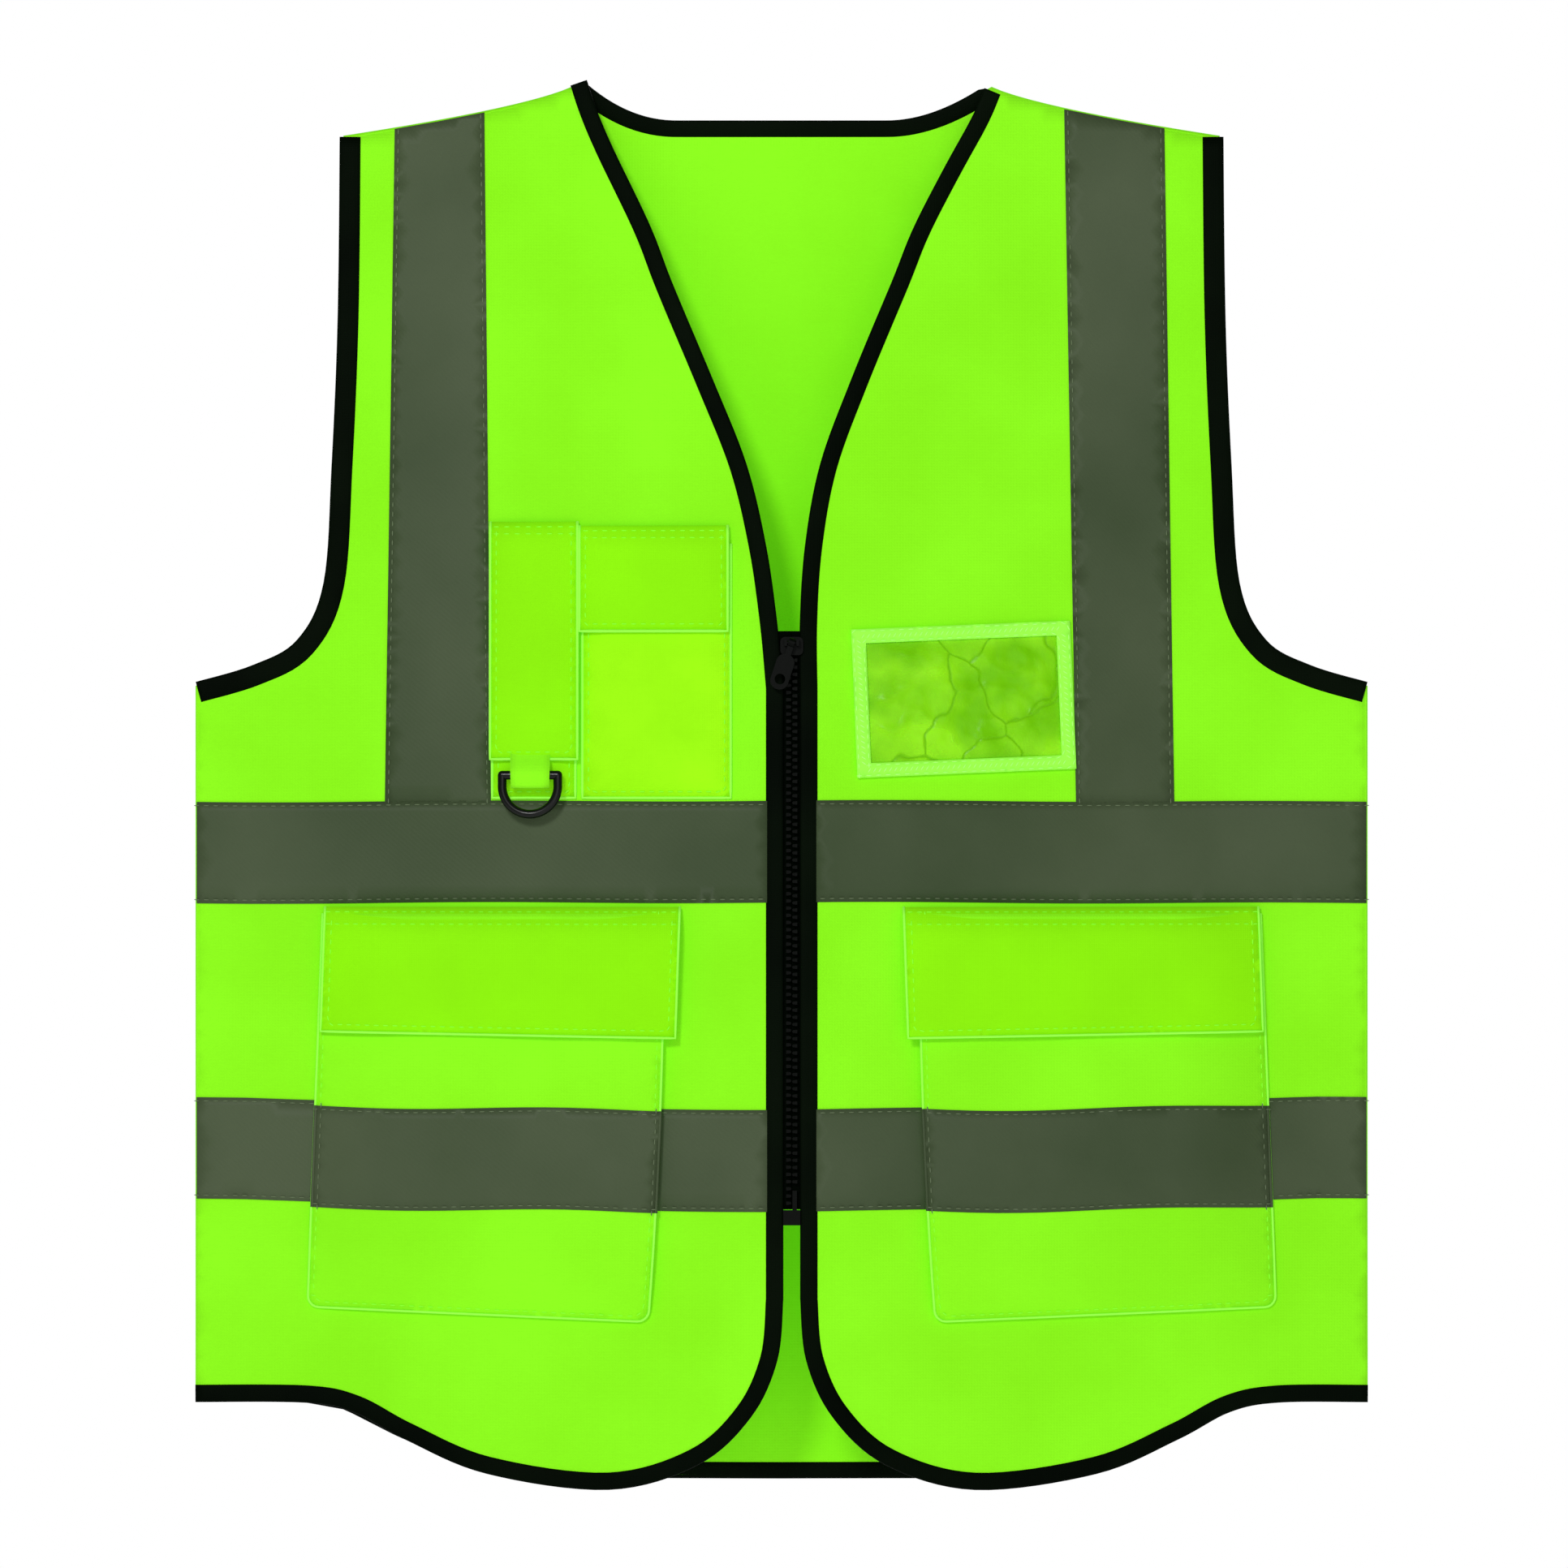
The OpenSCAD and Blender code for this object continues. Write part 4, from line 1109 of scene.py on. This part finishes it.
def lower_bag(name, side, here):
    """The bag of a lower pocket with its folded edge, its stitches and its gusset."""
    skew = []
    for share, z in resample(rounded_box(0, 1, POCKET_FOOT, POCKET_MOUTH, POCKET_R), 12):
        near, far = pocket_sides(z)
        u = near + (far - near) * share
        lift = (pocket_foot(u) - POCKET_FOOT) * ease((POCKET_MOUTH - z) / 150)
        skew.append((u, z + lift))
    path = flip(skew, side)
    finish(cloth("lower_pocket_" + name, "front", path, "knit", pocket_level, CLOTH_T, 5),
           "shell_cloth", here, "pocket_front_" + name, "pocket_gusset_" + name, cut=path)
    edge_cord("lower_pocket_edge_" + name, path, pocket_level, 0.6, here)
    edge = flip([(pocket_sides(z)[0] + 1.6, z)
                 for z in numpy.linspace(POCKET_MOUTH, POCKET_FOOT + 3, 40)], side)
    finish(wall("lower_pocket_gusset_" + name, edge, 0.8, CLOTH_T, raised(pocket_level, -CLOTH_T)),
           "shell_cloth", here)
    sewn = [(u + (2.6 if u < 150 else -2.6), z + (2.6 if z < -600 else 0)) for u, z in skew]
    seam("front_" + name, "thread_lime", flip(sewn, side), raised(pocket_level, THREAD_LIFT))


def lower_tape(name, side, here):
    """The reflective tape on a lower pocket, which folds round the pocket's two sides."""
    low, high = WAIST_TAPE
    (low_near, low_far), (high_near, high_far) = pocket_sides(low), pocket_sides(high)
    line = [(float(u), low) for u in numpy.linspace(low_near + 0.5, low_far - 0.5, 16)]
    line += [(float(u), high) for u in numpy.linspace(high_far - 0.5, high_near + 0.5, 16)]
    outline = [(x, z + pocket_tape_drift(x)) for x, z in flip(line, side)]
    finish(cloth("lower_pocket_tape_" + name, "front", outline, "tape", raised(pocket_level, 0.5),
                 TAPE_T, 5), "reflective_tape", here, "pocket_tape_" + name, cut=outline)
    thread = raised(pocket_level, 0.5 + THREAD_LIFT)
    group = "front_" + name
    for z in (low + STITCH_IN, high - STITCH_IN):
        row = resample(flip([(low_near + 1, z), (low_far - 1.5, z)], side), 6)
        seam(group, "thread_grey", [(x, h + pocket_tape_drift(x)) for x, h in row], thread)
    for label, low_u, high_u, inset in (("inner", low_near, high_near, 2.2),
                                        ("outer", low_far, high_far, -2.6)):
        fall = pocket_tape_drift(ZIP_X + side * low_u)
        ends = ((low_u, low + fall), (high_u, high + fall))
        edge_cord("lower_pocket_tape_%s_%s" % (label, name), flip(ends, side),
                  raised(pocket_level, 0.15), 0.8, here, "reflective_tape", "tape")
        seam(group, "thread_grey", flip([(u + inset, z) for u, z in ends], side), thread)


def flap_outline(side, inset=0.0, drop=0.0):
    """Open outline of a lower flap, moved in at its free edges and down at its top."""
    near, far = FLAP_U[0] + inset, FLAP_U[1] - 1.5 - inset
    corners = ((near, FLAP_TOP - drop), (near, FLAP_FOOT + inset),
               (far, FLAP_FOOT + 3 + inset), (far, FLAP_TOP - drop))
    return flip([(u + flap_shift(z), z) for u, z in corners], side)


def lower_flap(name, side):
    """The flap of a lower pocket with its folded edge and its stitches."""
    group = "pocket_flap_" + name
    with_flap = partial(on_flap, front="front_" + name, flap=group, run=LOWER_FLAP_RUN)
    path = flap_outline(side)
    finish(cloth("lower_flap_" + name, "front", path, "flap", flap_level, CLOTH_T, 4),
           "flap_cloth", with_flap, group, "flap_seam_" + name, cut=path)
    edge_cord("lower_flap_edge_" + name, path, flap_level, 0.6, with_flap, "flap_cloth")
    rows = [flip([(FLAP_U[0] + 3, FLAP_TOP - drop), (FLAP_U[1] - 3, FLAP_TOP - drop)], side)
            for drop in (2.5, 8.5)]
    for row in rows + [flap_outline(side, 3.5, 8)]:
        seam(group, "thread_lime", row, raised(flap_level, THREAD_LIFT))


class VEST_OT_lower_pockets(VestOperator):
    """Make the two lower pockets with their tape, fasteners and flaps"""
    bl_idname = "vest.lower_pockets"
    bl_label = "Lower pockets"

    def execute(self, context):
        middle = sum(FLAP_U) / 2
        for name, side in SIDES.items():
            here = partial(on_front, side_name=name)
            lower_bag(name, side, here)
            lower_tape(name, side, here)
            lower_flap(name, side)
            fasteners(("lower_hook_" + name, "lower_loop_" + name),
                      ("pocket_hook_patch_" + name, "pocket_loop_patch_" + name),
                      ((middle - 30, -460), (middle + 30, -440)), side,
                      (raised(pocket_level, 0.6), raised(flap_level, -CLOTH_T - 0.05)),
                      (here, partial(on_body, body="pocket_flap_" + name)))
        return {"FINISHED"}


# Chest pockets, as distances from the zip on the left
CHEST_FOOT = -354.0
PEN_U = (105.5, 148.5)
PEN_TOP = -218.0
PEN_FLAP_FOOT = -335.0
PHONE_U = (30.0, 103.0)
PHONE_FLAP_U = (31.5, 104.5)
PHONE_TOP = -220.0
PHONE_FLAP_FOOT = -272.0
CHEST_RISE = 4.3


def chest_level(sides):
    """Outer face of a chest pocket between two sides."""
    def level(x, z):
        u = abs(x - ZIP_X)
        d = min(u - sides[0], sides[1] - u, z - CHEST_FOOT)
        return EDGE_LEVEL + CHEST_RISE * swell(d / 16)
    return level


def chest_flap_level(sides, top):
    """Outer face of a chest flap between two sides, sewn at its top."""
    def level(x, z):
        u = abs(x - ZIP_X)
        d = min(u - sides[0], sides[1] - u)
        return EDGE_LEVEL + 0.9 + 5.6 * swell((d + 6) / 22) * swell((top + 1 - z) / 12)
    return level


def three_sides(near, far, top, foot):
    """Open outline of a box on the left front, without its top edge."""
    return flip([(near, top), (near, foot), (far, foot), (far, top)], -1)


class VEST_OT_chest_pockets(VestOperator):
    """Make the pen pocket and the phone pocket with their flaps"""
    bl_idname = "vest.chest_pockets"
    bl_label = "Chest pockets"

    def execute(self, context):
        here = partial(on_front, side_name="left")
        for label, (near, far), (flap_near, flap_far), top, foot, key in (
                ("pen", (PEN_U[0] + 1, PEN_U[1] - 1), PEN_U, PEN_TOP, PEN_FLAP_FOOT, "flap"),
                ("phone", PHONE_U, PHONE_FLAP_U, PHONE_TOP, PHONE_FLAP_FOOT, "pocket")):
            level = chest_level((near, far))
            path = three_sides(near, far, top - 9, CHEST_FOOT)
            finish(cloth(label + "_pocket_bag", "front", path, key, level, CLOTH_T, 4),
                   "shell_cloth", here, label + "_pocket", cut=path)
            edge_cord(label + "_pocket_edge", path, level, 0.7, here)
            seam("front_left", "thread_lime",
                 three_sides(near + 3, far - 3, top - 12, CHEST_FOOT + 3),
                 raised(level, THREAD_LIFT))

            flap = label + "_flap"
            with_flap = partial(on_flap, front="front_left", flap=flap, run=CHEST_FLAP_RUN)
            level = chest_flap_level((flap_near, flap_far), top)
            path = three_sides(flap_near, flap_far, top, foot)
            finish(cloth(flap + "_cloth", "front", path, "flap", level, CLOTH_T, 3.5),
                   "flap_cloth", with_flap, flap, cut=path)
            edge_cord(flap + "_edge", path, level, 0.7, with_flap, "flap_cloth")
            near, far = flap_near + 3, flap_far - 3
            for row in (flip([(near, top - 2.5), (far, top - 2.5)], -1),
                        flip([(near, top - 6), (far, top - 6)], -1),
                        three_sides(near, far, top - 6, foot + 3.5)):
                seam(flap, "thread_lime", row, raised(level, THREAD_LIFT))

        middle = sum(PHONE_FLAP_U) / 2
        fasteners(("phone_hook", "phone_loop"), ("phone_hook_patch", "phone_loop_patch"),
                  ((middle - 15, -262), (middle + 15, -244)), -1,
                  (raised(chest_level(PHONE_U), 0.6),
                   raised(chest_flap_level(PHONE_FLAP_U, PHONE_TOP), -CLOTH_T - 0.05)),
                  (here, partial(on_body, body="phone_flap")))
        return {"FINISHED"}


class VEST_OT_ring_tab(VestOperator):
    """Make the webbing tab that loops round the bar of the D ring"""
    bl_idname = "vest.ring_tab"
    bl_label = "Ring tab"

    def execute(self, context):
        bar = Vector(JOINTS["d_ring_swing"]["pos_m"]) / MM
        loop_r, thick = 2.9, 0.7
        rear = front_y(bar.x, bar.z + 8) - (EDGE_LEVEL + CHEST_RISE + 0.2)
        # Down from under the flap, over the bar, round below it and up behind it
        line = smooth([(rear - 0.1, bar.z + 21), (rear - 0.5, bar.z + 12),
                       (bar.y - loop_r, bar.z + 3), (bar.y - loop_r - 0.1, bar.z - 2),
                       (bar.y - 1.0, bar.z - 6), (bar.y + 1.6, bar.z - 4.5),
                       (bar.y + 2.6, bar.z), (bar.y + 2.4, bar.z + 5)], 4)
        points, faces = [], []
        for (y, z), half in zip(line, numpy.linspace(10, 8.9, len(line))):
            i = len(points)
            for share in (-1, -0.5, 0, 0.5, 1):
                x = bar.x + share * half
                points.append(Vector((x, y + front_y(x, z) - front_y(bar.x, z), z)) * MM)
            if i:
                faces += [(i - 5 + k, i - 4 + k, i + 1 + k, i + k) for k in range(4)]
        tab = mesh_object("ring_tab_webbing", points, faces, "knit")
        solid = tab.modifiers.new("Thickness", "SOLIDIFY")
        solid.thickness = thick * MM
        solid.offset = 0
        mesh = evaluated_mesh(tab)
        tab.modifiers.clear()
        tab.data = mesh
        finish(outwards(tab), "shell_cloth", partial(on_front, side_name="left"), "ring_tab")
        return {"FINISHED"}


# Card window, as distance from the zip on the right
CARD_U, CARD_Z = 84.7, -305.5
CARD_W, CARD_H = 108.0, 73.0
CARD_BORDER = 7.0
FILM_W, FILM_H = CARD_W - 2 * CARD_BORDER, CARD_H - 2 * CARD_BORDER
FRAME_LEVEL = 2.6
# Distance from one slanted stitch of the frame to the next
SLANT_PITCH = 2.6
CARD_TURN = math.radians(2.4)


def card_box(w, h):
    """Corners of a box about the middle of the card window."""
    out = []
    for a, b in ((-w, -h), (w, -h), (w, h), (-w, h)):
        out.append((ZIP_X + CARD_U + (a * math.cos(CARD_TURN) - b * math.sin(CARD_TURN)) / 2,
                    CARD_Z + (a * math.sin(CARD_TURN) + b * math.cos(CARD_TURN)) / 2))
    return out


def creased(x, z):
    """Outer face of the film, which puckers in folds and lies flat beside its frame."""
    fold = 1 - abs(noise.noise(Vector((x * 0.05, z * 0.06, 5))))
    fine = 1 - abs(noise.noise(Vector((x * 0.13, z * 0.12, 9))))
    border = min(FILM_W / 2 - abs(x - ZIP_X - CARD_U), FILM_H / 2 - abs(z - CARD_Z))
    return 1.7 + (1.5 * fold ** 6 + 0.6 * fine ** 5) * ease(border / 8 - 0.2)


class VEST_OT_card_window(VestOperator):
    """Make the clear card window and its sewn frame"""
    bl_idname = "vest.card_window"
    bl_label = "Card window"

    def execute(self, context):
        here = partial(on_front, side_name="right")
        finish(cloth("card_window_frame", "front", card_box(CARD_W, CARD_H), "edge", FRAME_LEVEL,
                     1.0, 3.5, holes=[card_box(FILM_W, FILM_H)]), "card_frame", here, "id_frame")
        outline = card_box(FILM_W + 2, FILM_H + 2)
        finish(cloth("card_window_film", "front", outline, "vinyl", creased, 0.3, 1.8),
               "clear_vinyl", here, "id_window", cut=outline)
        group, thread, level = "front_right", "thread_pale", FRAME_LEVEL + THREAD_LIFT
        for inset in (1.0, CARD_BORDER - 1.0):
            corners = card_box(CARD_W - 2 * inset, CARD_H - 2 * inset)
            seam(group, thread, corners + corners[:1], level)
        # Between them, a row of slanted stitches holds the webbing down
        for start, end in in_a_ring(card_box(CARD_W - CARD_BORDER, CARD_H - CARD_BORDER)):
            run = Vector(end) - Vector(start)
            along = run.normalized()
            slant = (along + Vector((-along.y, along.x)) * 1.4).normalized()
            for k in range(1, round(run.length / SLANT_PITCH)):
                at = Vector(start) + along * (k * SLANT_PITCH)
                SEAMS.append((group, thread, [place("front", *at, level),
                                              place("front", *(at + slant), level)]))
        return {"FINISHED"}


ZIP_TAPE_LEVEL = -1.15
ZIP_TAPE_W = 14


def finish_node(node, key):
    """Gives a carried-over part its material."""
    mesh = frame["nodes"][node].data
    mesh.materials.clear()
    mesh.materials.append(material_of(key))


class VEST_OT_zip(VestOperator):
    """Make the zip tapes and the two rows of teeth, and finish the moulded parts"""
    bl_idname = "vest.zip"
    bl_label = "Zip"

    def execute(self, context):
        pitch = context.scene.vest_sizes.tooth_pitch
        tree = tooth_tree()
        down = Vector(JOINTS["slider_travel"]["axis"])
        lean = math.atan2(-down.y, -down.z)
        for name, side in SIDES.items():
            here = partial(on_body, body="front_" + name)
            tape_low, tape_high = box_mm("zip_tape_" + name)
            foot, top = tape_low.z, tape_high.z
            # The right tape reaches under the left one, so that no light comes through
            reach, level = (-1.0, ZIP_TAPE_LEVEL - 0.6) if side > 0 else (0.1, ZIP_TAPE_LEVEL)
            outline = flip([(reach, foot), (ZIP_TAPE_W, foot), (ZIP_TAPE_W, top), (reach, top)],
                           side)
            finish(cloth("zip_tape_cloth_" + name, "front", outline, "zip_cloth", level, 0.5, 3),
                   "zip_cloth", here, "zip_tape_" + name, cut=outline)
            # The teeth of the two rows take turns, half a pitch apart
            low, high = box_mm("zip_teeth_" + name)
            shift = pitch / MM / 2 if side < 0 else 0.0
            first = Vector((ZIP_X, high.y - 1.0, high.z - 6.6 - shift))
            last = first + down * (high.z - low.z - 6.0)
            finish(grown("zip_teeth_row_" + name, [[first * MM, last * MM]], tree, {
                "Pitch": pitch, "Plastic": material_of("plastic"),
                "Turn": (-lean, 0.0, math.pi) if side < 0 else (lean, 0.0, 0.0)}),
                "zip_plastic", here, "zip_teeth_" + name)
        for node in ("slider", "pull_tab", "retaining_box", "insertion_pin"):
            finish_node(node, "plastic")
        finish_node("d_ring", "steel")
        return {"FINISHED"}


def ride_of(group):
    """What the stitches of a group ride on."""
    if group == "back":
        return on_body
    if group.startswith("front_"):
        return partial(on_front, side_name=group[len("front_"):])
    if group.startswith("pocket_flap_"):
        front = "front_" + group[len("pocket_flap_"):]
        return partial(on_flap, front=front, flap=group, run=LOWER_FLAP_RUN)
    return partial(on_flap, front="front_left", flap=group, run=CHEST_FLAP_RUN)


class VEST_OT_stitches(VestOperator):
    """Sew the seams that the other pieces noted, one mesh for each body and thread"""
    bl_idname = "vest.stitches"
    bl_label = "Stitches"

    def execute(self, context):
        sizes = context.scene.vest_sizes
        tree = stitch_tree()
        for group, thread in sorted({row[:2] for row in SEAMS}):
            lines = [row[2] for row in SEAMS if row[:2] == (group, thread)]
            sewn = grown("stitches_%s_%s" % (group, thread), lines, tree, {
                "Pitch": sizes.stitch_pitch, "Length": sizes.stitch_length,
                "Width": sizes.thread_width, "Thread": material_of(thread)})
            finish(sewn, "reflective_tape" if thread == "thread_grey" else "shell_cloth",
                   ride_of(group))
        return {"FINISHED"}


# A long lens far away, so that the sides, the fronts and the back keep one scale; millimetres
# for the lens and metres for the width seen at the depth of the side seams
LENS, SENSOR = 300.0, 36.0
VIEW_W = 0.7728
SILHOUETTE_Y = 0.006
# Light of the room on the vest, as a share of the white that is seen
ROOM_LIGHT = 0.27
FLOOR_Z = -1.36
FLOOR_HALF = 9
# Each lamp's place in metres, power in watts and size in metres, all aimed at the same point
LAMPS = (("key", (-0.8, -2.7, 0.9), 47, 0.5), ("fill", (0.3, -3.0, -0.2), 17, 1.8),
         ("rear", (0.8, 2.0, 1.2), 42, 1.2))
AIM = Vector((0, 0, -0.35))


class VEST_OT_stage(VestOperator):
    """Set a pale floor, soft lights and a camera in front"""
    bl_idname = "vest.stage"
    bl_label = "Stage"

    def execute(self, context):
        scene = context.scene
        corners = [(x * FLOOR_HALF, y * FLOOR_HALF, FLOOR_Z)
                   for x, y in ((-1, -1), (1, -1), (1, 1), (-1, 1))]
        mesh_object("floor", corners, [(0, 1, 2, 3)], "floor", shade=False)

        world = bpy.data.worlds.new("Pale room")
        world.use_nodes = True
        tree = world.node_tree
        tree.nodes.clear()
        seen = add(tree, "ShaderNodeLightPath").outputs["Is Camera Ray"]
        power = add(tree, "ShaderNodeMapRange", inputs={"To Min": ROOM_LIGHT, "To Max": 1.0},
                    links={"Value": seen})
        room = add(tree, "ShaderNodeBackground", inputs={"Color": (1, 1, 1, 1)},
                   links={"Strength": power.outputs["Result"]})
        add(tree, "ShaderNodeOutputWorld", links={"Surface": room.outputs["Background"]})
        scene.world = world
        scene.view_settings.view_transform = "Standard"

        for label, at, power, size in LAMPS:
            lamp = bpy.data.lights.new(label, "AREA")
            lamp.energy = power
            lamp.size = size
            thing = bpy.data.objects.new(label, lamp)
            thing.location = at
            thing.rotation_euler = (AIM - Vector(at)).to_track_quat("-Z", "Y").to_euler()
            scene.collection.objects.link(thing)

        lens = bpy.data.cameras.new("camera")
        lens.lens = LENS
        lens.sensor_width = SENSOR
        eye = bpy.data.objects.new("camera", lens)
        eye.location = (0.0012, -SILHOUETTE_Y - VIEW_W * LENS / SENSOR, -0.3472)
        eye.rotation_euler = (math.pi / 2, 0, 0)
        scene.collection.objects.link(eye)
        scene.camera = eye
        return {"FINISHED"}


PIECES = (VEST_OT_stage, VEST_OT_shell, VEST_OT_bindings, VEST_OT_tapes, VEST_OT_lower_pockets,
          VEST_OT_chest_pockets, VEST_OT_ring_tab, VEST_OT_card_window, VEST_OT_zip,
          VEST_OT_stitches)


class VEST_PT_panel(bpy.types.Panel):
    """Lists the sizes, the colours and the pieces of the vest"""
    bl_label = "High visibility vest"
    bl_idname = "VEST_PT_panel"
    bl_space_type = "VIEW_3D"
    bl_region_type = "UI"
    bl_category = "Vest"

    def draw(self, context):
        for group in (context.scene.vest_sizes, context.scene.vest_colours):
            for key in group.bl_rna.properties.keys():
                if key not in ("rna_type", "name"):
                    self.layout.prop(group, key)
        for piece in PIECES:
            self.layout.operator(piece.bl_idname)


CLASSES = (VestSizes, VestColours, *PIECES, VEST_PT_panel)


def register():
    for cls in CLASSES:
        bpy.utils.register_class(cls)
    bpy.types.Scene.vest_sizes = bpy.props.PointerProperty(type=VestSizes)
    bpy.types.Scene.vest_colours = bpy.props.PointerProperty(type=VestColours)


def unregister():
    del bpy.types.Scene.vest_colours
    del bpy.types.Scene.vest_sizes
    for cls in reversed(CLASSES):
        bpy.utils.unregister_class(cls)


def main():
    """Makes every piece in order."""
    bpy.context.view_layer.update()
    register()
    for piece in PIECES:
        group, name = piece.bl_idname.split(".")
        getattr(getattr(bpy.ops, group), name)()


if __name__ == "__main__":
    main()
